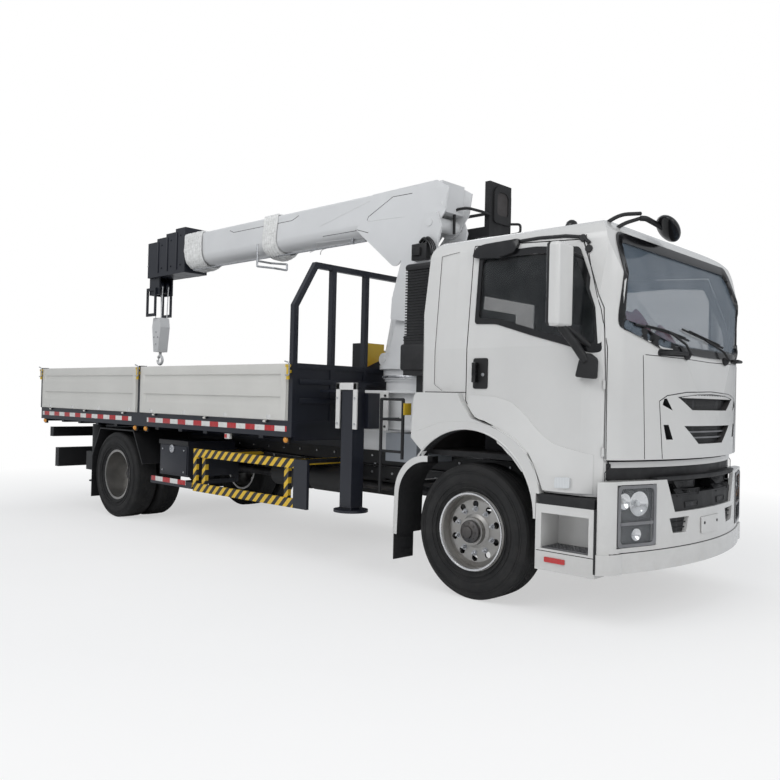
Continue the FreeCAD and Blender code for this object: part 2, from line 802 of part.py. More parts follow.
def rear_window_prism():
    wire = wire_of([(-450, 1950), (450, 1950), (420, 2420), (-420, 2420)], along_x)
    thing = Part.Face(wire).extrude(Vector(300, 0, 0))
    thing.translate(Vector(number(CAB_REAR) - 100, 0, 0))
    return thing


def feature(label, shape):
    """Hand in a piece whose curved shape is worked out from the sheet in code."""
    thing = doc.addObject("Part::Feature", label)
    thing.Shape = shape
    return node(label, thing)


def flipped(shape):
    """The left-hand twin of a right-hand shape."""
    return shape.mirror(Vector(0, 0, 0), Vector(0, 1, 0))


def arch_cutter(growth):
    """The space over a front wheel: a half round on a straight-sided box."""
    front_axle = number(FRONT_AXLE)
    width = 2 * size.flare_face + 200
    radius = size.arch_radius + growth
    round_top = Part.makeCylinder(
        radius, width, Vector(front_axle, -width / 2, size.arch_centre), Vector(0, 1, 0),
    )
    straight = Part.makeBox(2 * radius, width, size.arch_centre, Vector(front_axle - radius, -width / 2, 0))
    return round_top.fuse(straight)


def hang_door(door, shell, low):
    """Give a door a bored knuckle at this height, and the shell its pin, on both sides."""
    spot = Vector(number(FRONT_AXLE) + size.door_front + 2, -size.door_hinge_y, 0)

    def upright(radius, start, end):
        return Part.makeCylinder(radius, end - start, spot + Vector(0, 0, start))

    high = low + 60
    for start, end in ((low - 16, low - 0.5), (high + 0.5, high + 16)):
        door = door.cut(upright(size.door_knuckle + 1, start, end))
    door = door.fuse(upright(size.door_knuckle, low, high)).cut(upright(size.door_pin + size.pin_fit, low - 1, high + 1))
    hardware = [upright(size.door_pin, low - 15, high + 15)]
    for start, end in ((low - 15, low - 1), (high + 1, high + 15)):
        hardware.append(upright(size.door_knuckle - 1, start, end))
        hardware.append(Part.makeBox(16, 8, end - start, spot + Vector(0, -2, start)))
    relief = upright(size.door_knuckle + 3, low - 1, high + 1)
    shell = shell.cut([relief, flipped(relief)])
    shell = shell.fuse(hardware + [flipped(item) for item in hardware])
    return largest(door), largest(shell)


def cab():
    front_axle = number(FRONT_AXLE)
    outer = cab_form(0)
    room = cab_form(size.cab_wall)
    length = size.cab_rear + size.cab_front
    width = 2 * size.cab_half_width
    underside = Part.makeBox(
        length, width - 2 * size.cab_wall, size.cab_floor - size.cab_floor_wall - size.cab_bottom + 1,
        Vector(front_axle - size.cab_rear - size.cab_wall, -width / 2 + size.cab_wall, size.cab_bottom - 1),
    )
    floor = Part.makeBox(
        length, width, size.cab_floor_wall,
        Vector(front_axle - size.cab_rear, -width / 2, size.cab_floor - size.cab_floor_wall),
    ).common(cab_form(2))
    hollow = room.cut(floor).fuse(underside)
    walls = outer.cut(hollow)
    arch = arch_cutter(0)
    below_floor = Part.makeBox(
        4000, width + 200, size.cab_floor - size.cab_floor_wall - 100,
        Vector(front_axle - 2000, -width / 2 - 100, 100),
    )
    walls = walls.cut(arch.common(below_floor))
    inboard = Part.makeBox(4000, width - 2 * size.cab_wall, 4000, Vector(0, -width / 2 + size.cab_wall, 0))
    walls = walls.cut(arch.cut(inboard))
    nose = Part.makeBox(
        1000, 2 * width, size.panel_bottom - size.cab_bottom + 1,
        Vector(front_axle + size.door_front + size.door_gap, -width, size.cab_bottom - 1),
    )
    above_floor = Part.makeBox(
        1000, 2 * width, 4000, Vector(front_axle + size.door_front, -width, size.cab_floor - size.cab_floor_wall),
    ).common(room)
    walls = walls.cut(nose.cut(above_floor))
    band = cab_form(0).cut(cab_form(size.cab_wall))
    panes = cab_form(size.glass_inset).cut(cab_form(size.glass_inset + size.glass_wall))
    opening = side_prism(door_wire(size.door_gap))
    leaf = side_prism(door_wire(0))
    window = side_prism(window_wire())
    door = band.common(leaf).cut(window)
    door_glass = panes.common(window)
    def sill(growth):
        """The shell's sill bar behind the door's foot, drawn larger by growth."""
        return Part.makeBox(
            size.door_front + size.door_rear + 100, 200, size.cab_wall + 10 + growth,
            Vector(front_axle - size.door_rear - 50, size.door_depth - size.cab_half_width - growth, size.cab_bottom - 5),
        )

    door = door.cut(sill(size.door_gap))
    opening = opening.cut(sill(0))
    shell = walls.cut(opening).cut(flipped(opening)).cut(screen_prism()).cut(rear_window_prism())
    door = largest(door)
    shell = largest(shell.cut(cab_grille_cutters(0)))
    band_wire = wire_of([
        (front_axle - 380, 2645), (front_axle - 380, 1625), (front_axle - 300, 1575), (front_axle - 178, 1600),
        (front_axle - 205, 2665),
    ], along_y)
    recess = side_prism(band_wire).common(cab_form(-1).cut(cab_form(size.recess_depth)))
    shell = largest(shell.cut([recess, flipped(recess)]))
    for low in (1150, 1600):
        door, shell = hang_door(door, shell, low)
    feature("cab_shell", shell)
    feature("windscreen", Part.makeCompound([
        largest(panes.common(screen_prism())), largest(panes.common(rear_window_prism())),
    ]))
    feature("door_right", door)
    feature("door_left", flipped(door))
    feature("door_glass_right", largest(door_glass))
    feature("door_glass_left", flipped(largest(door_glass)))


def largest(shape):
    """The biggest solid of a boolean result."""
    return max(shape.Solids, key=lambda solid: solid.Volume)


# --------------------------------------------------------------------------
# Bumper, lamps, flares, steps, mirrors, interior, air intake
# --------------------------------------------------------------------------
def bumper_form(inset, low, high):
    front_axle = number(FRONT_AXLE)
    front = front_axle + size.front_overhang
    half = size.flare_face
    wire = wire_of([
        (front - 560, -half + 5), (front - 270, -half + 5),
        (front - 210, -half + 65, ARC), (front - 175, -half + 185),
        (front, 0, ARC), (front - 175, half - 185),
        (front - 210, half - 65, ARC), (front - 270, half - 5), (front - 560, half - 5),
    ], along_z)
    body = prism(wire, inset, Vector(0, 0, high - low))
    body.translate(Vector(0, 0, low))
    return body


def front_zone(low_y, high_y, low_z, high_z):
    """The part of the nose between two heights and two places across."""
    start = number(FRONT_AXLE) + size.step_front + 6
    return Part.makeBox(1000, high_y - low_y, high_z - low_z, Vector(start, low_y, low_z))


def wedge(corners):
    """A wedge through the nose along the truck, from its corners across and up."""
    form = Part.Face(wire_of(corners, along_x)).extrude(Vector(1000, 0, 0))
    form.translate(Vector(number(FRONT_AXLE) + size.step_front + 6, 0, 0))
    return form


def cab_grille_cutters(growth):
    """The openings of the cab's nose, each drawn wider by growth."""
    cutters = [
        wedge([(-320 - growth, 1471 - growth), (320 + growth, 1471 - growth), (488 + growth, 1557 + growth),
               (-488 - growth, 1557 + growth)]),
        wedge([(-220 - growth, 1226 - growth), (220 + growth, 1226 - growth), (420 + growth, 1357 + growth),
               (-420 - growth, 1357 + growth)]),
    ]
    for side in (-1, 1):
        cutters.append(wedge([(side * 560, 1466), (side * 668, 1504), (side * 652, 1548), (side * 625, 1550)]))
        cutters.append(wedge([(side * 552, 1262), (side * 625, 1262), (side * 655, 1366), (side * 602, 1366)]))
    return cutters


def nose():
    half = size.flare_face
    low, high, wall = size.bumper_bottom, size.bumper_top, size.bumper_wall
    lip = bumper_form(0, low, size.lip_top)
    skin = bumper_form(size.lip_step, low, high).fuse(lip)
    ring = skin.cut(bumper_form(wall, low - 1, high - 25))
    ring = ring.common(front_zone(-half, half, low, high))
    lamp_zone = front_zone(-size.lamp_outer, -size.lamp_inner, size.lamp_bottom, size.lamp_top)
    lamp_zones = lamp_zone.fuse(flipped(lamp_zone))
    grille_zone = wedge([
        (-size.grille_foot_half, size.grille_bottom), (size.grille_foot_half, size.grille_bottom),
        (size.grille_half, high + 1), (-size.grille_half, high + 1),
    ])
    pockets = [
        wedge([(side * 375, 602), (side * 540, 606), (side * 582, 712), (side * 340, 712)]) for side in (-1, 1)
    ]
    bumper = ring.cut(lamp_zones).cut([grille_zone, *pockets])
    feature("bumper", largest(bumper))
    lamp_ring = bumper_form(size.lip_step + 2, low, high).cut(bumper_form(wall - 2, low - 1, high + 1))
    lamps = lamp_ring.common(lamp_zones)
    feature("headlamps", lamps)
    band_top = size.panel_bottom - 5
    dark = bumper_form(30, size.grille_bottom, band_top).cut(bumper_form(30 + wall, size.grille_bottom - 1, band_top + 1))
    dark = dark.cut(cab_form(-size.seat_gap))
    upper = dark.common(front_zone(-half + 60, half - 60, high + size.seat_gap, band_top))
    lower = dark.common(grille_zone)
    inner_face = bumper_form(30 + wall - 5, 0, 3000)
    brackets = [
        Part.makeBox(
            290, 60, 60, Vector(number(FRONT_AXLE) + 1130 + size.seat_gap, side * (size.rail_outer - 40) - 30, size.rail_top - 130),
        ).common(inner_face)
        for side in (-1, 1)
    ]
    behind = wall + size.seat_gap
    pocket_skin = bumper_form(behind, low, high).cut(bumper_form(behind + size.mesh_wall, low - 1, high + 1))
    pocket_backs = [
        pocket_skin.common(front_zone(min(side * 320, side * 600), max(side * 320, side * 600), 590, 725))
        for side in (-1, 1)
    ]
    behind = size.cab_wall + size.seat_gap
    mesh = cab_form(behind).cut(cab_form(behind + size.mesh_wall)).common(front_zone(-700, 700, 1190, 1590))
    grille = upper.fuse([lower, *brackets]).removeSplitter()
    feature("front_grilles", Part.makeCompound([largest(grille), *pocket_backs, largest(mesh)]))


def flare():
    front_axle = number(FRONT_AXLE)
    gap = size.door_gap
    rear = front_axle - size.cab_rear - 20
    wire = wire_of([
        (front_axle + 655 - gap, size.cab_bottom - gap), (front_axle + 566 - gap, 1103 - gap, ARC),
        (front_axle + 400, 1262 - gap), (front_axle + 200, 1330 - gap),
        (front_axle - size.door_rear + 90, 1380 - gap), (front_axle - size.door_rear - 10, 1500),
        (front_axle - size.door_rear - 40, size.flare_top), (rear + 25, size.flare_top),
        (rear, size.flare_top - 40), (rear - 20, 1200), (front_axle - 420, 1080),
        (front_axle - 420, 690), (front_axle + size.step_rear - 4, 690),
        (front_axle + size.step_rear - 4, size.cab_bottom - gap),
    ], along_y)
    plate_form = Part.Face(wire).extrude(Vector(0, size.flare_face - size.cab_half_width - size.seat_gap, 0))
    plate_form.translate(Vector(0, -size.flare_face, 0))
    side = largest(plate_form.cut(arch_cutter(0)))
    outer = wire_of([
        (front_axle - 380, 1060), (front_axle - 640, 960, ARC), (front_axle - 725, 740),
        (front_axle - 735, 410), (front_axle - 690, 410), (front_axle - 680, 740),
        (front_axle - 600, 925, ARC), (front_axle - 380, 1015),
    ], along_y)
    guard = Part.Face(outer).extrude(Vector(0, 300, 0))
    guard.translate(Vector(0, -size.flare_face, 0))
    near = -size.flare_face + 290
    stay = Part.makeBox(60, -size.rail_outer - size.seat_gap - near, 30, Vector(front_axle - 735, near, 800))
    guard = guard.fuse(stay).cut(cab_form(-size.seat_gap))
    return side, largest(guard)


def flares():
    side, guard = flare()
    feature("front_fenders", Part.makeCompound([side, flipped(side), guard, flipped(guard)]))


def cab_steps():
    """A white step well under each door, with one open step and a tread plate."""
    body = block("step_body", (f"{FRONT_AXLE}+step_rear", f"{FRONT_AXLE}+step_front"),
                 ("-flare_face", "-rail_outer-seat_gap"), ("step_bottom", "step_top"))
    opening = block("step_opening", (f"{FRONT_AXLE}+step_rear+45", f"{FRONT_AXLE}+step_front-45"),
                    ("-flare_face-1", "-flare_face+230"), ("step_bottom+150", "step_top-60"))
    behind = block("step_hollow", (f"{FRONT_AXLE}+step_rear+20", f"{FRONT_AXLE}+step_front-20"),
                   ("-flare_face+250", "-rail_outer-40"), ("step_bottom-1", "step_top-20"))
    return node("cab_steps", both_sides("step_pair", cut("step_well", body, opening, behind)))


def mirrors():
    """Main mirror on two arms from each door frame."""
    front = number(FRONT_AXLE) + size.door_front
    head = Part.makeBox(95, 200, 560, Vector(front - 255, -1465, 2010))
    head = head.makeFillet(28, head.Edges)
    arms = []
    for start, end, radius in (
        (Vector(front - 200, -1330, 2030), Vector(front - 70, -1100, 1850), 20),
        (Vector(front - 215, -1330, 2535), Vector(front - 170, -1000, 2490), 13),
    ):
        arms.append(Part.makeCylinder(radius, (end - start).Length, start, end - start))
    arms = [arm.cut(cab_form(-size.seat_gap)) for arm in arms]
    whole = largest(head.fuse(arms))
    feature("mirror_right", whole)
    feature("mirror_left", flipped(whole))


def cab_interior():
    pieces = []
    for side_name, middle in (("right", "-560"), ("left", "560")):
        low, high = f"{middle}-260", f"{middle}+260"
        cushion = block(f"seat_cushion_{side_name}", (f"{CAB_REAR}+280", f"{CAB_REAR}+800"), (low, high), ("1480", "1600"))
        back = block(f"seat_back_{side_name}", (f"{CAB_REAR}+180", f"{CAB_REAR}+300"), (low, high), ("1480", "2250"))
        stand = block(f"seat_stand_{side_name}", (f"{CAB_REAR}+330", f"{CAB_REAR}+730"),
                      (f"{middle}-180", f"{middle}+180"), ("cab_floor+seat_gap", "1485"))
        pieces.append(joined(f"seat_{side_name}", cushion, back, stand))
    dash = block("dash_body", (f"{CAB_FRONT}-420", f"{CAB_FRONT}-240"), ("-960", "960"), ("1480", "1820"))
    foot = block("dash_foot", (f"{CAB_FRONT}-330", f"{CAB_FRONT}-250"), ("-700", "700"), ("cab_floor+seat_gap", "1490"))
    ring = doc.addObject("Part::Torus", "steering_rim")
    bind(ring, Radius1="215", Radius2="14")
    ring.Placement = Placement(Vector(), Rotation(Vector(0, 1, 0), -60))
    place(ring, f"{CAB_FRONT}-560", "560", "1780")
    column = doc.addObject("Part::Cylinder", "steering_column")
    bind(column, Radius="30", Height="260")
    column.Placement = Placement(Vector(), Rotation(Vector(0, 1, 0), 120))
    place(column, f"{CAB_FRONT}-560", "560", "1780")
    spokes = block("steering_spokes", (f"{CAB_FRONT}-575", f"{CAB_FRONT}-545"), ("350", "770"), ("1762", "1798"))
    pieces.append(joined("dashboard", dash, foot, column, spokes, ring))
    return node("cab_interior", grouped("interior_set", *pieces))


def air_intake():
    low_x, high_x = f"{CAB_REAR}-270", f"{CAB_REAR}-30"
    stack = block("intake_stack", (low_x, high_x), ("-1060", "-820"), ("2030", "2620"))
    box = block("intake_box", (f"{low_x}-15", high_x), ("-1075", "-805"), ("1700", "2031"))
    duct = block("intake_duct", (f"{low_x}+60", f"{high_x}-40"), ("-990", "-870"), ("1300", "1701"))
    stays = [
        block(f"intake_stay_{index}", (f"{high_x}-5", f"{CAB_REAR}-seat_gap"), ("-1000", "-880"), (low, f"{low}+40"))
        for index, low in enumerate(("1800", "2400"))
    ]
    return node("air_intake", joined("intake_whole", stack, box, duct, *stays))


# --------------------------------------------------------------------------
# Load bed
# --------------------------------------------------------------------------
BED_EDGE = "body_half_width"
DECK_BOTTOM = "(deck_top-deck_floor)"
SKIRT_BOTTOM = "(deck_top-side_rail_height)"


GATE_AXIS_Z = "(deck_top-gate_hinge_drop)"
SIDE_AXIS = f"(-{BED_EDGE}-gate_hinge_out)"
TAIL_AXIS = f"({REAR_END}+gate_hinge_radius+0.5)"
SIDE_HINGES = {
    "rear": [f"({REAR_END}+{offset})" for offset in (350, 1330, 2310)],
    "front": [f"(mid_post_x+{offset})" for offset in (350, 1360, 2370)],
}
TAIL_HINGES = ["-900", "0", "900"]
BEARER_COUNT = 12


def spread(line, along_spot, across, up):
    """Order a block's spans for a hinge whose line runs along x or y."""
    return (along_spot, across, up) if line == "x" else (across, along_spot, up)


def hinge_pin(name, line, spot, edge, outward):
    """A gate hinge's pin between two lugs that stand out from the bed's edge."""
    axis = SIDE_AXIS if line == "x" else TAIL_AXIS
    pin = rod(f"{name}_bar", line, f"{spot}-34", f"{spot}+34", (axis, GATE_AXIS_Z), "gate_pin")
    lugs = []
    for tag, low, high in (("a", -34, -22), ("b", 22, 34)):
        across = (f"{axis}-gate_pin-2", f"{edge}+1")
        lugs.append(block(f"{name}_lug_{tag}", *spread(
            line, (f"{spot}+({low})", f"{spot}+({high})"), across,
            (f"{GATE_AXIS_Z}-gate_pin-2", f"{GATE_AXIS_Z}+gate_pin+2"),
        )))
    return joined(name, pin, *lugs)


def hinge_strap(name, line, spot):
    """A gate hinge's bored knuckle with the strap that carries the gate."""
    axis = SIDE_AXIS if line == "x" else TAIL_AXIS
    face = f"-{BED_EDGE}" if line == "x" else REAR_END
    low_z = "(deck_top+running_gap)"
    width = (f"{spot}-20", f"{spot}+20")
    knuckle = rod(f"{name}_knuckle", line, f"{spot}-20", f"{spot}+20", (axis, GATE_AXIS_Z), "gate_hinge_radius")
    if line == "x":
        neck = block(f"{name}_neck", *spread(line, width, (f"{face}-8", f"{face}-1.5"), (GATE_AXIS_Z, f"{low_z}+5")))
        strap = block(f"{name}_strap", *spread(line, width, (f"{face}-8", f"{face}+1"), (low_z, f"{low_z}+130")))
    else:
        neck = block(f"{name}_neck", *spread(line, width, (f"{axis}-6", f"{axis}+6"), (GATE_AXIS_Z, f"{low_z}+1")))
        strap = block(f"{name}_strap", *spread(line, width, (f"{face}+2", f"{face}+20"), (low_z, f"{low_z}+20")))
    return joined(name, knuckle, neck, strap), rod(
        f"{name}_bore", line, f"{spot}-21", f"{spot}+21", (axis, GATE_AXIS_Z), "gate_pin+pin_fit",
    )


def hung_gate(name, panel, line, spots):
    """A gate panel with its straps, bored for the bed's pins."""
    straps, bores = zip(*(hinge_strap(f"{name}_hinge_{index}", line, spot) for index, spot in enumerate(spots)))
    return cut(f"{name}_hung", joined(f"{name}_with_straps", panel, *straps), *bores)


def bed_deck():
    """Side rails and sills around the floor plate, corner posts on them, bearers and runners below."""
    tail, sill = f"({REAR_END}+tail_setback)", f"({REAR_END}+post_width)"
    head_from = f"({BED_FRONT}-head_tube)"
    inner = f"({BED_EDGE}-post_width-seat_gap)"
    parts = [
        block("deck_plate", (f"{sill}+seat_gap", f"{head_from}-seat_gap"), (f"-{inner}", inner), (DECK_BOTTOM, "deck_top")),
        block("head_sill", (head_from, BED_FRONT), (f"-{inner}", inner), (DECK_BOTTOM, "deck_top")),
    ]
    pins = [hinge_pin(f"tail_pin_{index}", "y", spot, tail, "-1") for index, spot in enumerate(TAIL_HINGES)]
    parts.append(joined(
        "tail_sill_hung", block("tail_sill", (tail, sill), (f"-{inner}", inner), (DECK_BOTTOM, "deck_top")), *pins,
    ))
    pins = [
        hinge_pin(f"side_pin_{index}", "x", spot, f"-{BED_EDGE}", "-1")
        for index, spot in enumerate(SIDE_HINGES["rear"] + SIDE_HINGES["front"])
    ]
    rail = block("side_rail", (tail, BED_FRONT), (f"-{BED_EDGE}", f"-{BED_EDGE}+post_width"), (SKIRT_BOTTOM, "deck_top"))
    parts.append(both_sides("side_rails", joined("side_rail_hung", rail, *pins)))
    posts = [
        block(
            f"post_{tag}", (spot, f"{spot}+post_width"), (f"-{BED_EDGE}", f"-{BED_EDGE}+post_width"),
            ("deck_top+seat_gap", "deck_top+side_height+10"),
        )
        for tag, spot in (("rear", REAR_END), ("middle", "mid_post_x-post_width/2"))
    ]
    runner = block(
        "deck_runner", (f"{REAR_END}+120", f"{BED_FRONT}-20"), ("-rail_outer+10", "-rail_outer+90"),
        ("rail_top", "rail_top+subframe_height"),
    )
    parts.append(both_sides("posts_and_runners", grouped("posts_and_runner", *posts, runner)))
    last = BEARER_COUNT - 1
    for index in range(BEARER_COUNT):
        spot = f"({tail}+({BED_FRONT}-{tail}-100)*{index}/{last})"
        parts.append(block(
            f"deck_bearer_{index}", (spot, f"{spot}+70"), (f"-{inner}", inner),
            ("rail_top+subframe_height+seat_gap", f"{DECK_BOTTOM}-seat_gap"),
        ))
    return node("bed_deck", grouped("bed_parts", *parts))


def headboard():
    tube = "head_tube"
    low_x, high_x = f"{BED_FRONT}-{tube}", BED_FRONT
    panel = block("head_panel", (f"{low_x}+10", f"{high_x}-10"), (f"-{BED_EDGE}+10", f"{BED_EDGE}-10"),
                  ("deck_top+seat_gap", "head_panel_top"))
    frame_outer = plate("head_frame_outer", "yz", [
        (f"-{BED_EDGE}", "deck_top+seat_gap"), (BED_EDGE, "deck_top+seat_gap"), (BED_EDGE, "head_shoulder"),
        ("head_top_half", "head_top"), ("-head_top_half", "head_top"), (f"-{BED_EDGE}", "head_shoulder"),
    ], low_x, high_x)
    frame_inner = plate("head_frame_inner", "yz", [
        (f"-{BED_EDGE}+{tube}", "deck_top-10"), (f"{BED_EDGE}-{tube}", "deck_top-10"),
        (f"{BED_EDGE}-{tube}", f"head_shoulder-{tube}*0.25"), (f"head_top_half-{tube}*0.55", f"head_top-{tube}"),
        (f"-head_top_half+{tube}*0.55", f"head_top-{tube}"), (f"-{BED_EDGE}+{tube}", f"head_shoulder-{tube}*0.25"),
    ], f"{low_x}-5", f"{high_x}+5")
    hoop = cut("head_hoop", frame_outer, frame_inner)
    posts = []
    for index, place_y in enumerate(("-head_outer_post", "-head_inner_post", "head_inner_post", "head_outer_post")):
        posts.append(block(
            f"head_post_{index}", (low_x, high_x), (f"{place_y}-{tube}/2", f"{place_y}+{tube}/2"),
            ("deck_top+seat_gap", f"head_top-{tube}+1"),
        ))
    cap_rail = block("head_cap_rail", (low_x, high_x), (f"-{BED_EDGE}+5", f"{BED_EDGE}-5"), ("head_panel_top-50", "head_panel_top"))
    return node("headboard", joined("headboard_welded", panel, hoop, cap_rail, *posts))


def ribbed_panel(name, line, start, end, face):
    """A drop side with two sunk bands in its outer face; face is its outermost place."""
    low_z, high_z = "(deck_top+running_gap)", "deck_top+side_height"
    sheet_body = block(f"{name}_sheet", *spread(line, (start, end), (face, f"{face}+panel_wall"), (low_z, high_z)))
    grooves = []
    for tag, low_share, high_share in (("low", 0.22, 0.39), ("high", 0.61, 0.78)):
        height = "(side_height-running_gap)"
        z = (f"{low_z}+{height}*{low_share}", f"{low_z}+{height}*{high_share}")
        grooves.append(block(
            f"{name}_groove_{tag}", *spread(line, (f"{start}+70", f"{end}-70"), (f"{face}-1", f"{face}+9"), z),
        ))
    return cut(f"{name}_panel", sheet_body, *grooves)


def drop_sides():
    rear_from, rear_to = f"{REAR_END}+post_width+running_gap", "mid_post_x-post_width/2-running_gap"
    front_from, front_to = "mid_post_x+post_width/2+running_gap", f"{BED_FRONT}-head_tube-running_gap"
    for tag, start, end in (("rear", rear_from, rear_to), ("front", front_from, front_to)):
        panel = ribbed_panel(f"side_{tag}", "x", start, end, f"-{BED_EDGE}")
        right = hung_gate(f"side_{tag}", panel, "x", SIDE_HINGES[tag])
        node(f"side_{tag}_right", right)
        node(f"side_{tag}_left", mirrored(f"side_{tag}_left_panel", right))
    half = f"({BED_EDGE}-post_width-running_gap)"
    panel = ribbed_panel("tailgate_sheet", "y", f"-{half}", half, REAR_END)
    node("tailgate", hung_gate("tailgate_sheet", panel, "y", TAIL_HINGES))


# --------------------------------------------------------------------------
# Crane
# --------------------------------------------------------------------------
def along(text):
    """A place given as a distance behind the front axle."""
    return f"({FRONT_AXLE}-({text}))"


BEAM_REAR = along("beam_box_x+beam_box_width/2")
BEAM_FRONT = along("beam_box_x-beam_box_width/2")


def crane_base():
    pedestal = block("pedestal", (f"{SLEW}-330", BEAM_REAR + "+1"), ("-pedestal_half", "pedestal_half"),
                     ("rail_top+seat_gap", "base_top"))
    box = block("beam_box", (BEAM_REAR, BEAM_FRONT), ("-beam_box_half", "beam_box_half"), ("beam_box_bottom", "base_top"))
    bore = block("beam_box_bore", (f"{BEAM_REAR}+beam_wall", f"{BEAM_FRONT}-beam_wall"),
                 ("-beam_box_half-1", "beam_box_half+1"), ("beam_box_bottom+beam_wall", "base_top-beam_wall"))
    saddle = block("beam_saddle", (BEAM_REAR, BEAM_FRONT), ("-rail_outer", "rail_outer"), ("rail_top+seat_gap", "beam_box_bottom+1"))
    cabinet = block("valve_cabinet", (f"{BEAM_FRONT}-1", f"{BEAM_FRONT}+330"), ("-880", "880"), ("1235", "base_top-plate_wall+1"))
    deck = block("platform", (f"{SLEW}-340", f"{BEAM_FRONT}+420"), ("-940", "940"), ("base_top-plate_wall", "base_top"))
    neck = rod("slew_neck_body", "z", "base_top-5", "neck_top", (SLEW, "0"), "slew_neck")
    lip = rod("slew_neck_lip", "z", "neck_top-25", "neck_top", (SLEW, "0"), "slew_neck+15")
    base = joined("base_solid", cut("box_open", box, bore), pedestal, saddle, cabinet, neck, lip, deck)
    return node("crane_base", base)


def slew_ring():
    ring = rod("bearing_ring", "z", "neck_top+seat_gap", "ring_top-seat_gap", (SLEW, "0"), "slew_ring")
    return node("slew_ring", ring)


def column():
    flange = rod("column_flange", "z", "ring_top", "flange_top", (SLEW, "0"), "slew_flange")
    body = plate("column_body", "xz", [
        (along("lug_x-110"), "flange_top-1"), (along("lug_x-560"), "flange_top-1"),
        (along("boom_pivot_x+20"), "2180"), (along("slew_x-column_waist"), "head_top-90"),
        (along("slew_x-column_waist"), "head_top+8"), (along("slew_x-column_reach"), "head_top+30"),
        (along("slew_x-column_reach"), "boom_pivot_z-235"), (along("boom_pivot_x+150"), "boom_pivot_z-235"),
        (along("eye_x-95"), "eye_z-190"), (along("eye_x+15"), "2250"),
    ], "-column_half", "column_half")
    parts = [flange, body]
    for side_name, low in (("right", "-ear_inner-ear_wall"), ("left", "ear_inner")):
        parts.append(plate(f"column_ear_{side_name}", "xz", [
            (along("lug_x-200"), "2300"), (along("boom_pivot_x+60"), "2230"), (along("slew_x-column_waist+30"), "head_top-90"),
            (along("slew_x-column_waist+30"), "head_top+8"), (along("slew_x-column_reach+20"), "head_top+30"),
            (along("boom_pivot_x-150"), "boom_pivot_z-60"), (along("boom_pivot_x-90"), "boom_pivot_z+90"),
            (along("boom_pivot_x+70"), "boom_pivot_z+90"), (along("boom_pivot_x+120"), "boom_pivot_z-60"),
            (along("eye_x-110"), "eye_z-40"), (along("eye_x+10"), "2500"),
        ], low, f"{low}+ear_wall"))
    parts.append(block("column_cross", (along("boom_pivot_x+180"), along("slew_x-column_waist+30")),
                       ("-ear_inner-1", "ear_inner+1"), ("2400", "boom_pivot_z-330")))
    pin_hole = rod("lug_hole", "y", "-lug_inner-lug_wall-1", "lug_inner+lug_wall+1", (along("lug_x"), "lug_z"), "lift_pin+pin_fit")
    for side_name, low in (("right", "-lug_inner-lug_wall"), ("left", "lug_inner")):
        round_end = rod(f"lug_round_{side_name}", "y", low, f"{low}+lug_wall", (along("lug_x"), "lug_z"), "lug_radius")
        root = plate(f"lug_root_{side_name}", "xz", [
            (along("lug_x"), "lug_z-lug_radius+1"), (along("lug_x-160"), "flange_top-1"),
            (along("lug_x-170"), "lug_z+330"), (along("lug_x-50"), "lug_z+60"), (along("lug_x"), "lug_z+50"),
        ], low, f"{low}+lug_wall")
        parts.append(cut(f"lug_{side_name}", joined(f"lug_whole_{side_name}", round_end, root), pin_hole))
    pivot_hole = rod("pivot_hole", "y", "-ear_inner-ear_wall-1", "ear_inner+ear_wall+1",
                     (along("boom_pivot_x"), "boom_pivot_z"), "boom_pin+pin_fit")
    return node("crane_column", cut("column_bored", joined("column_welded", *parts), pivot_hole))


def section_wire(inset):
    """The boom's cross-section: flat top, rounded belly."""
    low, high, half = size.boom_bottom, size.boom_top, size.boom_half
    wire = wire_of([
        (-half, high - 25), (-half, low + 150), (-half + 42, low + 42, ARC), (-half + 150, low),
        (half - 150, low), (half - 42, low + 42, ARC), (half, low + 150), (half, high - 25),
        (half - 7, high - 7, ARC), (half - 25, high), (-half + 25, high), (-half + 7, high - 7, ARC),
    ], along_x)
    return wire.makeOffset2D(-inset, join=2) if inset else wire


def boom_tube(inset, wall, tail, mouth):
    """A hollow stretch of boom between two distances behind the front axle."""
    front_axle = number(FRONT_AXLE)
    outer = Part.Face(section_wire(inset)).extrude(Vector(mouth - tail, 0, 0))
    inner = Part.Face(section_wire(inset + wall)).extrude(Vector(mouth - tail + 2, 0, 0))
    inner.translate(Vector(-1, 0, 0))
    tube = outer.cut(inner)
    tube.translate(Vector(front_axle - mouth, 0, 0))
    return tube


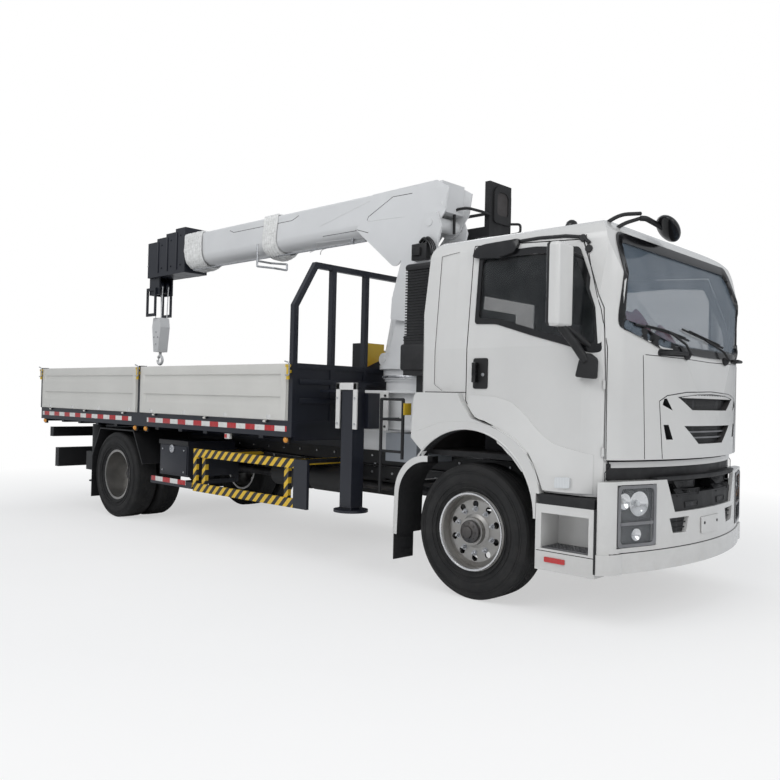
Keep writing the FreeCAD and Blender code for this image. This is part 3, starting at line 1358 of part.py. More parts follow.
def boom_base():
    front_axle = number(FRONT_AXLE)
    tube = boom_tube(0, size.boom_wall, size.boom_tail, size.boom_mouth)
    cheeks = []
    wire = wire_of([
        (front_axle - 2330, size.boom_bottom + 75), (front_axle - size.eye_x - 60, size.eye_z - 75),
        (front_axle - size.eye_x - 10, size.eye_z - 95, ARC), (front_axle - size.eye_x + 60, size.eye_z - 65),
        (front_axle - size.boom_pivot_x - 150, size.boom_pivot_z - 60),
        (front_axle - size.boom_pivot_x, size.boom_pivot_z - 95, ARC), (front_axle - size.boom_pivot_x + 95, size.boom_pivot_z),
        (front_axle - size.boom_pivot_x + 180, size.boom_top - 300), (front_axle - size.boom_pivot_x + 215, size.boom_top - 90),
        (front_axle - size.boom_pivot_x + 60, size.boom_top), (front_axle - 2100, size.boom_top - 8),
    ], along_y)
    for low in (-size.boom_half - size.cheek_wall + 2, size.boom_half - 2):
        cheek = Part.Face(wire).extrude(Vector(0, size.cheek_wall, 0))
        cheek.translate(Vector(0, low, 0))
        cheeks.append(cheek)
    back = Part.makeBox(
        size.boom_tail - size.boom_pivot_x + 120, 2 * size.boom_half, size.boom_top - size.boom_bottom - 130,
        Vector(front_axle - size.boom_tail - 1, -size.boom_half, size.boom_bottom + 120),
    )
    pin = Part.makeCylinder(
        size.boom_pin, 2 * (size.ear_inner + size.ear_wall) + 16,
        Vector(front_axle - size.boom_pivot_x, -size.ear_inner - size.ear_wall - 8, size.boom_pivot_z), Vector(0, 1, 0),
    )
    sleeve = Part.makeCylinder(
        size.boom_pin + 30, 2 * size.boom_half,
        Vector(front_axle - size.boom_pivot_x, -size.boom_half, size.boom_pivot_z), Vector(0, 1, 0),
    )
    whole = tube.fuse([*cheeks, back, pin, sleeve])
    feature("boom_base", whole)


def boom_sections():
    front_axle = number(FRONT_AXLE)
    count = int(size.section_count)
    for index in range(1, count + 1):
        inset = index * (size.boom_wall + size.section_slip)
        tail = size.section_tail + index * 30
        head_from = size.boom_mouth + size.section_slip + (index - 1) * size.section_pitch
        mouth = head_from + size.head_length
        tube = boom_tube(inset, size.boom_wall, tail, mouth)
        collar_half = size.boom_half + 12 - index * 6
        top = size.boom_top + 160 - index * 38
        bottom = size.boom_bottom - 62
        collar = Part.makeBox(
            size.head_length, 2 * collar_half, top - bottom, Vector(front_axle - mouth, -collar_half, bottom),
        )
        pads = [
            Part.makeBox(150, 120, size.section_slip - size.pin_fit + 1, Vector(
                front_axle - tail - 150, -60, size.boom_top - inset - 1)),
            Part.makeBox(150, 30, size.section_slip - size.pin_fit + 1, Vector(
                front_axle - tail - 150, -15, size.boom_bottom + inset - size.section_slip + size.pin_fit)),
        ]
        core = Part.Face(section_wire(inset + size.boom_wall)).extrude(Vector(size.head_length + 2, 0, 0))
        core.translate(Vector(front_axle - mouth - 1, 0, 0))
        tip = boom_tip(mouth) if index == count else []
        section = tube.fuse([collar.cut(core), *pads, *tip])
        feature(f"boom_section_{index}", largest(section))


def tip_end():
    """Where the last section's outermost plate stands along the truck."""
    reach = size.boom_mouth + size.section_slip + (size.section_count - 1) * size.section_pitch + size.head_length
    return number(FRONT_AXLE) - reach


def boom_tip(mouth):
    """Sheave plates, sheaves and the hook guard at the end of the last section."""
    end = tip_end()
    sheave_x = end + size.sheave_inset
    sheave_z = size.boom_bottom - 180
    pieces = [Part.makeBox(20, 220, size.boom_top - 60 - size.tip_bottom, Vector(end - 20, -110, size.tip_bottom))]
    for low in (-110, 90):
        pieces.append(Part.makeBox(
            size.head_length + 20, 20, size.boom_bottom - 40 - size.tip_bottom, Vector(end - 20, low, size.tip_bottom),
        ))
    for low in (-70, 20):
        pieces.append(Part.makeCylinder(size.sheave_radius, 50, Vector(sheave_x, low, sheave_z), Vector(0, 1, 0)))
    pieces.append(Part.makeCylinder(25, 220, Vector(sheave_x, -110, sheave_z), Vector(0, 1, 0)))
    for low in (-135, 110):
        for reach in (-60, 150):
            pieces.append(Part.makeBox(30, 25, 400, Vector(end + reach, low, size.tip_bottom - 300)))
        pieces.append(Part.makeBox(240, 25, 40, Vector(end - 60, low, size.tip_bottom - 300)))
        pieces.append(Part.makeBox(240, 25, 40, Vector(end - 60, low, size.tip_bottom + 60)))
    return pieces


def lift_cylinder():
    front_axle = number(FRONT_AXLE)
    foot = Vector(front_axle - size.lug_x, 0, size.lug_z)
    eye = Vector(front_axle - size.eye_x, 0, size.eye_z)
    direction = (eye - foot).normalize()
    length = (eye - foot).Length
    across = Vector(0, 1, 0)
    half = size.eye_half
    foot_eye = Part.makeCylinder(size.eye_radius, 2 * half, foot - across * half, across)
    pin_half = size.lug_inner + size.lug_wall + 6
    foot_pin = Part.makeCylinder(size.lift_pin, 2 * pin_half, foot - across * pin_half, across)
    body = Part.makeCylinder(size.barrel_radius, length - 165, foot + direction * 30, direction)
    bore = Part.makeCylinder(size.barrel_bore, length, foot + direction * 110, direction)
    mouth = Part.makeCylinder(size.rod_radius + size.pin_fit, length, foot + direction * (length - 165), direction)
    shank = Part.makeCylinder(size.barrel_radius + 6, 60, foot + direction * (length - 195), direction)
    gland = shank.cut(Part.makeCylinder(size.rod_radius + size.pin_fit, 4 * length, foot, direction))
    barrel = body.cut(bore).fuse([foot_eye, foot_pin, gland]).cut(mouth)
    feature("lift_barrel", largest(barrel))
    rod_body = Part.makeCylinder(size.rod_radius, length - 115 - 30, foot + direction * 115, direction)
    piston = Part.makeCylinder(size.barrel_bore - size.pin_fit, 60, foot + direction * 115, direction)
    rod_eye = Part.makeCylinder(size.eye_radius, 2 * half, eye - across * half, across)
    rod_pin = Part.makeCylinder(size.lift_pin, 2 * half + 60, eye - across * (half + 30), across)
    feature("lift_rod", rod_body.fuse([piston, rod_eye, rod_pin]))


def hook_block():
    middle = tip_end() + size.sheave_inset
    top, bottom = size.hook_top, size.hook_block_bottom
    wire = wire_of([
        (middle - 85, top), (middle + 85, top), (middle + 110, top - 130), (middle + 60, bottom),
        (middle - 60, bottom), (middle - 110, top - 130),
    ], along_y)
    body = Part.Face(wire).extrude(Vector(0, 150, 0))
    body.translate(Vector(0, -75, 0))
    low = size.hook_bottom
    ring = Part.makeTorus(58, 20, Vector(middle, 0, low + 78), Vector(0, 1, 0))
    mouth = Part.makeBox(60, 60, 34, Vector(middle - 100, -30, low + 80))
    neck = Part.makeCylinder(20, bottom - low - 120, Vector(middle, 0, low + 125), Vector(0, 0, 1))
    falls = []
    reach = size.sheave_radius + size.rope_radius + size.seat_gap
    sheave_z = size.boom_bottom - 180
    for across in (-45, 45):
        for side in (-reach, reach):
            start = Vector(middle + side, across, sheave_z)
            finish = Vector(middle + side * 0.75, across, top - 10)
            falls.append(Part.makeCylinder(size.rope_radius, (finish - start).Length, start, finish - start))
    feature("hook_block", largest(body.fuse([ring.cut(mouth), neck, *falls])))


def operator_seat():
    """High seat on the column's left side, facing the load."""
    low_y, high_y = "ear_inner+ear_wall+230", "ear_inner+ear_wall+600"
    front = along("boom_pivot_x-230")
    back = block("high_seat_back", (f"{front}-60", front), (low_y, high_y), ("boom_pivot_z+40", "boom_pivot_z+500"))
    cushion = block("high_seat_cushion", (f"{front}-430", front), (low_y, high_y), ("boom_pivot_z-55", "boom_pivot_z+45"))
    arm = block("high_seat_arm", (f"{front}-330", f"{front}-250"), ("ear_inner+ear_wall+seat_gap", "ear_inner+ear_wall+400"),
                ("boom_pivot_z-115", "boom_pivot_z-54"))
    rail = block("high_seat_rail", (f"{front}-400", f"{front}-20"), ("ear_inner+ear_wall+190", "ear_inner+ear_wall+215"),
                 ("boom_pivot_z+150", "boom_pivot_z+175"))
    stub = block("high_seat_rail_stub", (f"{front}-330", f"{front}-300"), ("ear_inner+ear_wall+190", "ear_inner+ear_wall+215"),
                 ("boom_pivot_z-56", "boom_pivot_z+160"))
    return node("operator_seat", joined("high_seat", back, cushion, arm, rail, stub))


# --------------------------------------------------------------------------
# Outriggers
# --------------------------------------------------------------------------
LEG_X = along("beam_box_x")


def outrigger(side_name, sign):
    """A sliding beam with its leg housing, and the leg's foot that slides down."""
    inner, outer = f"{sign}*40", f"{sign}*(body_half_width-leg_size)"
    slip = "beam_wall+beam_slip"
    beam = block(
        f"slide_beam_{side_name}", (f"{BEAM_REAR}+{slip}", f"{BEAM_FRONT}-({slip})"),
        (f"min({inner};{outer})", f"max({inner};{outer})"),
        (f"beam_box_bottom+{slip}", "base_top-plate_wall-beam_slip"),
    )
    pad_near, pad_far = f"{sign}*60", f"{sign}*200"
    pad = block(
        f"beam_pad_{side_name}", (f"{LEG_X}-60", f"{LEG_X}+60"),
        (f"min({pad_near};{pad_far})", f"max({pad_near};{pad_far})"),
        ("beam_box_bottom+beam_wall+pin_fit", f"beam_box_bottom+{slip}+1"),
    )
    y_near, y_far = f"{sign}*(body_half_width-leg_size-1)", f"{sign}*body_half_width"
    span_y = (f"min({y_near};{y_far})", f"max({y_near};{y_far})")
    leg = block(f"leg_case_{side_name}", (f"{LEG_X}-leg_size/2", f"{LEG_X}+leg_size/2"), span_y, ("leg_bottom", "leg_top"))
    bore = block(
        f"leg_bore_{side_name}", (f"{LEG_X}-leg_size/2+leg_wall", f"{LEG_X}+leg_size/2-leg_wall"),
        (f"min({y_near};{y_far})+leg_wall", f"max({y_near};{y_far})-leg_wall"), ("leg_bottom-1", "leg_top-leg_wall"),
    )
    cap = block(f"leg_cap_{side_name}", (f"{LEG_X}-leg_size/2-12", f"{LEG_X}+leg_size/2+12"),
                span_y, ("leg_top-1", "leg_top+20"))
    node(f"outrigger_beam_{side_name}", cut(f"outrigger_case_{side_name}", joined(
        f"outrigger_solid_{side_name}", beam, pad, leg, cap), bore))
    middle = f"{sign}*(body_half_width-leg_size/2)"
    inset = "leg_wall+beam_slip"
    inner_leg = block(
        f"inner_leg_{side_name}", (f"{LEG_X}-leg_size/2+{inset}", f"{LEG_X}+leg_size/2-({inset})"),
        (f"{middle}-leg_size/2+{inset}", f"{middle}+leg_size/2-({inset})"), ("foot_bottom+20", "foot_bottom+900"),
    )
    guide = "leg_size/2-leg_wall-pin_fit"
    pad = block(
        f"leg_pad_{side_name}", (f"{LEG_X}-({guide})", f"{LEG_X}+{guide}"),
        (f"{middle}-20", f"{middle}+20"), ("foot_bottom+840", "foot_bottom+899"),
    )
    foot = rod(f"foot_{side_name}", "z", "foot_bottom", "foot_bottom+22", (LEG_X, middle), "foot_radius")
    node(f"outrigger_foot_{side_name}", joined(f"jack_leg_{side_name}", inner_leg, pad, foot))


def rear_jack_cases():
    """Fixed rear jack tubes over square boxes, open at the bottom, on arms from the frame's rails."""
    cases = []
    for side_name, sign in (("right", "-1"), ("left", "1")):
        spot = (along("rear_jack_x"), f"{sign}*rear_jack_y")
        low = "rear_jack_foot+150"
        tube = rod(f"rear_case_{side_name}", "z", low, f"{DECK_BOTTOM}-145", spot, "rear_case_radius")
        hole = rod(f"rear_case_hole_{side_name}", "z", f"{low}-10", f"{DECK_BOTTOM}-160", spot, "rear_jack_bore")
        square = block(
            f"rear_box_{side_name}", (f"{spot[0]}-rear_box_half", f"{spot[0]}+rear_box_half"),
            (f"{spot[1]}-rear_box_half", f"{spot[1]}+rear_box_half"), (low, f"{low}+rear_box_height"),
        )
        arm_near, arm_far = f"{sign}*(rail_outer+seat_gap)", f"{sign}*(rear_jack_y-55)"
        arm = block(
            f"rear_arm_{side_name}", (f"{spot[0]}-50", f"{spot[0]}+50"),
            (f"min({arm_near};{arm_far})", f"max({arm_near};{arm_far})"), (f"{RAIL_BOTTOM}+20", "rail_top-60"),
        )
        cases.append(cut(f"rear_case_open_{side_name}", joined(f"rear_case_whole_{side_name}", tube, square, arm), hole))
    return cases


def rear_jack_feet():
    for side_name, sign in (("right", "-1"), ("left", "1")):
        spot = (along("rear_jack_x"), f"{sign}*rear_jack_y")
        stem = rod(f"rear_stem_{side_name}", "z", "rear_jack_foot+55", "rear_jack_foot+610", spot, "45")
        collar = rod(f"rear_collar_{side_name}", "z", "rear_jack_foot+560", "rear_jack_foot+609", spot, "rear_jack_bore-pin_fit")
        taper = cone(f"rear_taper_{side_name}", "rear_jack_foot+12", "rear_jack_foot+56", spot, "90", "45")
        sole = rod(f"rear_sole_{side_name}", "z", "rear_jack_foot", "rear_jack_foot+13", spot, "110")
        node(f"rear_jack_foot_{side_name}", joined(f"rear_foot_{side_name}", stem, collar, taper, sole))


# --------------------------------------------------------------------------
# Things hung on the frame
# --------------------------------------------------------------------------
def tanks():
    """Fuel tank on the left, oil tank and air bottles on the right, battery box."""
    pieces = []
    low_x = along("3345")
    fuel = block("fuel_tank", (low_x, f"{low_x}+1150"), ("rail_outer+60", "rail_outer+660"), ("430", "980"))
    straps = [
        block(f"fuel_strap_{index}", (f"{low_x}+{offset}", f"{low_x}+{offset}+60"), ("rail_outer+seat_gap", "rail_outer+61"), ("600", "960"))
        for index, offset in enumerate(("180", "880"))
    ]
    pieces.append(joined("fuel_tank_hung", fuel, *straps))
    for index, offset in enumerate(("2950", "2350")):
        bottle = rod(f"air_bottle_{index}", "x", along(offset), f"{along(offset)}+520", ("-rail_outer-190", "700"), "125")
        stay = block(f"air_stay_{index}", (f"{along(offset)}+200", f"{along(offset)}+260"),
                     ("-rail_outer-100", "-rail_outer-seat_gap"), ("770", "830"))
        pieces.append(joined(f"air_bottle_hung_{index}", bottle, stay))
    oil = block("oil_tank", (f"{BEAM_FRONT}+20", f"{BEAM_FRONT}+380"), ("-rail_outer-480", "-rail_outer-seat_gap"),
                ("960", "1205"))
    pieces.append(oil)
    return node("tanks", grouped("tank_set", *pieces))


def toolbox():
    left, right = along("4400"), along("3830")
    box = block("toolbox_body", (left, right), ("-1180", "-rail_outer-140"), ("600", "985"))
    stay = block("toolbox_stay", (f"{left}+100", f"{right}-100"), ("-rail_outer-141", "-rail_outer-seat_gap"), ("800", "900"))
    return node("toolbox", joined("toolbox_hung", box, stay))


def side_guards():
    """Guard frames along the lower flank, hung from the frame by brackets, in separate bars."""
    left, right = along("guard_rear_x"), along("guard_front_x")
    face, back = "-guard_face", "(-guard_face+guard_wall)"
    behind = f"{back}+seat_gap"
    low_top, high_low = "guard_bottom+guard_rail", "guard_top-guard_rail"
    hang_to = "-rail_outer-seat_gap"
    bars = [
        block("guard_top_rail", (left, f"{right}-60-seat_gap"), (face, back), (high_low, "guard_top")),
        block("guard_low_rail", (left, f"{right}-60-seat_gap"), (face, back), ("guard_bottom", low_top)),
        block("guard_post", (left, f"{left}+60"), (face, back), (f"{low_top}+seat_gap", f"{high_low}-seat_gap")),
        block("guard_end_plate", (f"{right}-60", f"{right}+130"), (face, back), ("guard_bottom", "guard_top")),
    ]
    for index, offset in enumerate(("120", "1480")):
        spot = (f"{left}+{offset}", f"{left}+{offset}+60")
        bars.append(block(f"guard_upright_{index}", spot, (behind, f"{back}+40"), ("guard_bottom+5", "guard_top-20")))
        bars.append(block(f"guard_hanger_{index}", spot, (f"{back}+40+seat_gap", hang_to), ("guard_top-75", "guard_top-20")))
    stub = (along("4000"), along("3940"))
    bars.append(block("low_bar", (along("4520"), along("3680")), (face, back), ("guard_bottom+15", low_top)))
    bars.append(block("low_bar_hanger", stub, (behind, hang_to), ("guard_bottom+25", "guard_bottom+75")))
    bars.append(block(
        "low_bar_riser", stub, ("-rail_outer-60", hang_to), ("guard_bottom+75+seat_gap", f"{RAIL_BOTTOM}+40"),
    ))
    return node("side_guards", both_sides("guard_pair", grouped("guard_side", *bars)))


def rear_mudguards():
    points = [
        (along("wheelbase+590"), "700"), (along("wheelbase+400"), f"{WHEEL}+tyre_radius+25"),
        (along("wheelbase-400"), f"{WHEEL}+tyre_radius+25"), (along("wheelbase-620"), "680"),
        (along("wheelbase-632"), "690"), (along("wheelbase-410"), f"{WHEEL}+tyre_radius+40"),
        (along("wheelbase+410"), f"{WHEEL}+tyre_radius+40"), (along("wheelbase+602"), "710"),
    ]
    arch = plate("mudguard_arch", "xz", points, "-1225", "-rail_outer-90")
    flap = block("mud_flap", (along("wheelbase+602"), along("wheelbase+590")), ("-1225", "-rail_outer-90"), ("190", "705"))
    stay = block("mudguard_stay", (along("wheelbase+520"), along("wheelbase+480")), ("-rail_outer-100", "-rail_outer-seat_gap"),
                 ("900", "960"))
    return node("rear_mudguards", both_sides("mudguard_pair", joined("mudguard_right", arch, flap, stay)))


def ladder():
    """Tube ladder from the frame to the crane's platform, right side."""
    left, right = along("1040"), along("790")
    y = "-1080"
    parts = [
        rod("ladder_left", "z", "700", "base_top-70", (left, y), "14"),
        rod("ladder_right", "z", "1000", "base_top-70", (right, y), "14"),
    ]
    for index, height in enumerate(("base_top-75", "1330", "1060")):
        parts.append(rod(f"rung_{index}", "x", left, right, (y, height), "12"))
    parts.append(rod("ladder_stay", "y", y, "-880-seat_gap", (f"{left}+20", "1330"), "12"))
    parts.append(rod("ladder_stay_top", "y", y, "-940-seat_gap", (f"{left}+20", "base_top-75"), "12"))
    return node("ladder", joined("ladder_whole", *parts))


def valve_bank():
    """Control valves and winch drum on a shelf behind the open middle of the headboard."""
    rear = f"{BED_FRONT}-head_tube"
    shelf = block("valve_shelf", (f"{rear}-300", f"{rear}-seat_gap"), ("-200", "260"), ("head_panel_top-30", "head_panel_top"))
    body = block("valve_body", (f"{rear}-260", f"{rear}-70"), ("-180", "100"), ("head_panel_top-1", "head_panel_top+260"))
    drum = rod("valve_drum", "y", "95", "245", (f"{rear}-165", "head_panel_top+110"), "95")
    foot = block("drum_foot", (f"{rear}-230", f"{rear}-100"), ("110", "230"), ("head_panel_top-1", "head_panel_top+60"))
    return node("valve_bank", joined("valve_whole", shelf, body, drum, foot))


# --------------------------------------------------------------------------
# Build, check and hand in
# --------------------------------------------------------------------------
def build():
    chassis_frame()
    axles()
    leaf_springs()
    engine()
    for side_name, sign in (("right", "-1"), ("left", "1")):
        knuckle(side_name, sign)
        front_wheel(side_name, sign)
        rear_wheels(side_name, sign)
        outrigger(side_name, sign)
    cab()
    nose()
    flares()
    cab_steps()
    mirrors()
    cab_interior()
    air_intake()
    bed_deck()
    headboard()
    drop_sides()
    crane_base()
    slew_ring()
    column()
    boom_base()
    boom_sections()
    lift_cylinder()
    hook_block()
    operator_seat()
    rear_jack_feet()
    tanks()
    toolbox()
    side_guards()
    rear_mudguards()
    ladder()
    valve_bank()


def hand_in():
    doc.recompute()
    faults = [thing.Name for thing in doc.Objects if {"Invalid", "Error"} & set(thing.State)]
    if faults:
        raise RuntimeError("failed objects: " + ", ".join(faults))
    os.makedirs("parts", exist_ok=True)
    for label, thing in nodes.items():
        shape = thing.Shape
        if shape.isNull() or not shape.isValid() or not shape.Solids:
            raise RuntimeError("bad shape: " + label)
        shape.exportStep(f"parts/{label}.step")
        print(f"{label}: {len(shape.Solids)} solids, {shape.Volume / 1e9:.4f} cubic metres")


build()
hand_in()
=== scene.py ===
import itertools
import math
import random

import bmesh
import bpy
from mathutils import Euler, Matrix, Vector
from mathutils.bvhtree import BVHTree
from mathutils.geometry import delaunay_2d_cdt


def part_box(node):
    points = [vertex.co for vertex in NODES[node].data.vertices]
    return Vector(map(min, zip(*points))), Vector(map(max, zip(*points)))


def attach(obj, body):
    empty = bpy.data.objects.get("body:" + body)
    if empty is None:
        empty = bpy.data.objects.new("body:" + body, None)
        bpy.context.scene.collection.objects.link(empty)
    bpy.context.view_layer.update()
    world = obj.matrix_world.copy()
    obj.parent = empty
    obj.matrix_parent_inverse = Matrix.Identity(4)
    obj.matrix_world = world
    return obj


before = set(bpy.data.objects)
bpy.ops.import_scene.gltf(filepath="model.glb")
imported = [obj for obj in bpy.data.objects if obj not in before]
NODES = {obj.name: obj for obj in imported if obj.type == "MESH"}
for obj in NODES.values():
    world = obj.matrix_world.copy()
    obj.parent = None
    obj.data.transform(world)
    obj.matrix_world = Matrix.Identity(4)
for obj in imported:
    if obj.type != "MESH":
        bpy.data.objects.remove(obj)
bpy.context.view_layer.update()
SIDES = (("right", -1), ("left", 1))
TRUCK = "truck"
TURN = 2 * math.pi

# ---------------------------------------------------------------- camera
# The front axle's place along the truck gives the origin that the view was worked out in.
tyre_low, tyre_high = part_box("front_tyre_right")
AXLE_X = (tyre_low.x + tyre_high.x) / 2
WHEEL_Z = (tyre_low.z + tyre_high.z) / 2
REAR_AXLE = -5.34             # the rear axle, from the front one


def at(x, y, z):
    """A point given from the front axle: x forward, y left, z above the ground."""
    return Vector((AXLE_X + x, y, z))


def aim(eye, azimuth, pitch, roll):
    """Camera matrix from its place and its three angles in degrees."""
    a, p, r = (math.radians(v) for v in (azimuth, pitch, roll))
    right = Vector((math.cos(a), math.sin(a), 0))
    level = Vector((-math.sin(a), math.cos(a), 0))
    plumb = Vector((0, 0, 1))
    ahead = level * math.cos(p) + plumb * math.sin(p)
    up = plumb * math.cos(p) - level * math.sin(p)
    turn = Matrix((right * math.cos(r) + up * math.sin(r), up * math.cos(r) - right * math.sin(r), -ahead))
    return Matrix.Translation(eye) @ turn.transposed().to_4x4()


def place_in_scene(name, data):
    """An object that shows its data, linked to the scene."""
    thing = bpy.data.objects.new(name, data)
    bpy.context.scene.collection.objects.link(thing)
    return thing


def make_camera():
    """The camera, where the photograph was taken from."""
    data = bpy.data.cameras.new("camera")
    data.sensor_width = 36
    data.lens = 36.84
    data.clip_end = 200
    camera = place_in_scene("camera", data)
    camera.matrix_world = aim(at(3.687, -6.006, 1.502), 43.24, 0.64, 1.33)
    bpy.context.scene.camera = camera


make_camera()


# ---------------------------------------------------------------- node helpers
class Tree:
    """Short calls for building the nodes of a material or a world."""

    def __init__(self, owner):
        owner.use_nodes = True
        self.owner = owner
        self.tree = owner.node_tree
        self.tree.nodes.clear()

    def node(self, kind, inputs=(), **settings):
        """A node with its settings, and its inputs by name or number, each a value or a socket."""
        node = self.tree.nodes.new("ShaderNode" + kind)
        for key, value in settings.items():
            setattr(node, key, value)
        for key, value in dict(inputs).items():
            self.feed(value, node.inputs[key])
        return node

    def feed(self, value, socket):
        if isinstance(value, bpy.types.NodeSocket):
            self.tree.links.new(value, socket)
        elif isinstance(value, (tuple, list)):
            solid = len(value) == 3 and len(socket.default_value) == 4
            socket.default_value = (*value, 1) if solid else value
        else:
            socket.default_value = value

    def spot(self, system="Object"):
        return self.node("TexCoord").outputs[system]

    def place(self, system="Object"):
        return self.node("SeparateXYZ", {0: self.spot(system)}).outputs

    def noise(self, scale, detail=4, rough=0.55, stretch=None):
        source = self.spot()
        if stretch:
            source = self.node("Mapping", {0: source, "Scale": stretch}).outputs[0]
        return self.node("TexNoise", {
            "Scale": scale, "Detail": detail, "Roughness": rough, "Vector": source,
        }).outputs["Fac"]

    def pattern(self, kind, output, **settings):
        """A voronoi or wave texture; settings that name an input are fed to it."""
        inputs = {key: settings.pop(key) for key in ("Scale", "Distortion", "Randomness") if key in settings}
        return self.node(f"Tex{kind}", {"Vector": self.spot(), **inputs}, **settings).outputs[output]

    def ramp(self, value, first, last):
        """Two colours, each with its place, blended along a value."""
        node = self.node("ValToRGB", {0: value})
        for element, (place, colour) in zip(node.color_ramp.elements, (first, last)):
            element.position = place
            element.color = (*colour, 1)
        return node.outputs[0]

    def mix(self, factor, a, b):
        return self.node("Mix", {0: factor, 6: a, 7: b}, data_type="RGBA").outputs[2]

    def math(self, operation, *values):
        return self.node("Math", enumerate(values), operation=operation).outputs[0]

    def map(self, value, *limits):
        """A value's range from low to high carried to another range."""
        return self.node("MapRange", enumerate((value, *limits))).outputs[0]

    def shades(self, colour, noise, dark, light):
        """A colour in soft clouds, and the noise behind them; dark and light are (place, factor)."""
        cloud = self.noise(*noise)
        return self.ramp(cloud, *((place, tint(colour, factor)) for place, factor in (dark, light))), cloud

    def stained(self, base, stain, noise, low, high, amount):
        """A stain laid over a colour where a noise is high, and the stain's share."""
        veil = self.map(self.noise(*noise), low, high, 0, amount)
        return self.mix(veil, base, stain), veil


def tint(colour, factor):
    return tuple(min(1.0, max(0.0, channel * factor)) for channel in colour)


class Paint(Tree):
    """A material's nodes round one principled shader."""

    def __init__(self, name):
        super().__init__(bpy.data.materials.new(name))
        self.shader = self.node("BsdfPrincipled")
        self.out = self.node("OutputMaterial", {0: self.shader.outputs[0]})

    def bump(self, height, strength, distance):
        bump = self.node("Bump", {"Strength": strength, "Distance": distance, "Height": height})
        self.feed(bump.outputs[0], self.shader.inputs["Normal"])

    def set(self, **values):
        for key, value in values.items():
            self.feed(value, self.shader.inputs[key.replace("_", " ")])
        return self.owner


# ---------------------------------------------------------------- light
def make_world():
    """Soft studio sky, grey below and pale blue above, that the camera sees as plain white."""
    world = bpy.data.worlds.new("sky")
    bpy.context.scene.world = world
    t = Tree(world)
    path = t.node("LightPath").outputs
    seen = t.math("MAXIMUM", path["Is Camera Ray"], path["Is Transmission Ray"])
    height = t.math("MULTIPLY_ADD", t.place("Generated")[2], 0.5, 0.5)
    sky = t.ramp(height, (0.44, (0.42, 0.43, 0.44)), (0.62, (0.93, 0.96, 1.0)))
    lit = t.node("Background", {"Color": sky, "Strength": 0.60})
    plain = t.node("Background", {"Color": (1, 1, 1), "Strength": 1.0})
    mix = t.node("MixShader", {0: seen, 1: lit.outputs[0], 2: plain.outputs[0]})
    t.node("OutputWorld", {0: mix.outputs[0]})


def lamp(name, spot, target, size, power):
    """A rectangular area light turned to its target."""
    data = bpy.data.lights.new(name, "AREA")
    data.shape = "RECTANGLE"
    data.size, data.size_y = size
    data.energy = power
    thing = place_in_scene(name, data)
    thing.location = spot
    thing.rotation_euler = (Vector(target) - Vector(spot)).to_track_quat("-Z", "Y").to_euler()


bpy.context.scene.view_settings.view_transform = "Standard"
make_world()
lamp("key", (2.0, -9.0, 9.0), (0, 0, 1.2), (9, 6), 380)
lamp("front", (11.0, -2.5, 6.0), (2, 0, 1.3), (6, 5), 170)
lamp("rim", (-7.0, 7.0, 8.0), (-1, 0, 2), (6, 6), 160)


# ---------------------------------------------------------------- materials
def paint(name, colour, rough=0.3, coat=0.6, grime=0.25, dirt=(0.23, 0.2, 0.17), low_dust=0.0):
    """Sprayed paint: faint orange peel, soft cloudiness, worn edges and road dust low down."""
    t = Paint(name)
    base, cloud = t.shades(colour, (1.7, 5), (0.3, 0.955), (0.7, 1.03))
    base, _ = t.stained(base, dirt, (34, 6, 0.65), 0.56, 0.78, grime * 0.07)
    if low_dust:
        veil = t.map(t.place()[2], 0.25, 1.15, low_dust, 0.0)
        patches = t.map(t.noise(5.5, 7, 0.65), 0.3, 0.75, 0.25, 1.0)
        base = t.mix(t.math("MULTIPLY", veil, patches), base, dirt)
    edge = t.map(t.node("NewGeometry").outputs["Pointiness"], 0.56, 0.66, 0.0, 0.25)
    base = t.mix(edge, base, tint(colour, 1.15 if max(colour) < 0.5 else 0.88))
    t.bump(t.noise(160, 2), 0.012, 0.001)
    return t.set(Base_Color=base, Roughness=t.map(cloud, 0.3, 0.7, rough * 0.9, min(1, rough * 1.15)),
                 Coat_Weight=coat, Coat_Roughness=0.09)


def plastic(name, colour, rough=0.55, grain=240, depth=0.12):
    """Moulded plastic with a fine grain and a little bleaching."""
    t = Paint(name)
    base, _ = t.shades(colour, (2.6, 5), (0.3, 0.8), (0.72, 1.35))
    base, _ = t.stained(base, (0.10, 0.095, 0.09), (11, 7, 0.7), 0.52, 0.8, 0.12)
    t.bump(t.pattern("Voronoi", "Distance", Scale=grain), depth, 0.0008)
    return t.set(Base_Color=base, Roughness=t.map(t.noise(9, 5), 0.3, 0.7, rough * 0.85, min(1, rough * 1.2)))


def metal(name, colour, rough=0.35, stained=0.35, brushed=None):
    """Bare or cast metal with staining and brushed or cast grain."""
    t = Paint(name)
    base, _ = t.shades(colour, (6, 6), (0.28, 0.82), (0.7, 1.1))
    base, blot = t.stained(base, (0.2, 0.17, 0.14), (3.2, 8, 0.7), 0.48, 0.75, stained)
    grain = t.noise(55, 5, 0.6, brushed)
    t.bump(grain, 0.1, 0.0015)
    return t.set(Base_Color=base, Roughness=t.map(grain, 0.3, 0.7, rough * 0.8, min(1, rough * 1.35)),
                 Metallic=t.map(blot, 0, 1, 1.0, 0.35))


def rubber(name, colour=(0.010, 0.010, 0.0105), rough=0.8):
    """Tyre rubber: matt black, greyer with dust where the noise is high."""
    t = Paint(name)
    base, dust = t.stained(colour, (0.09, 0.085, 0.08), (7, 8, 0.68), 0.42, 0.8, 0.25)
    t.bump(t.noise(95, 5), 0.14, 0.001)
    return t.set(Base_Color=base, Roughness=t.map(dust, 0, 0.5, rough, 0.95))


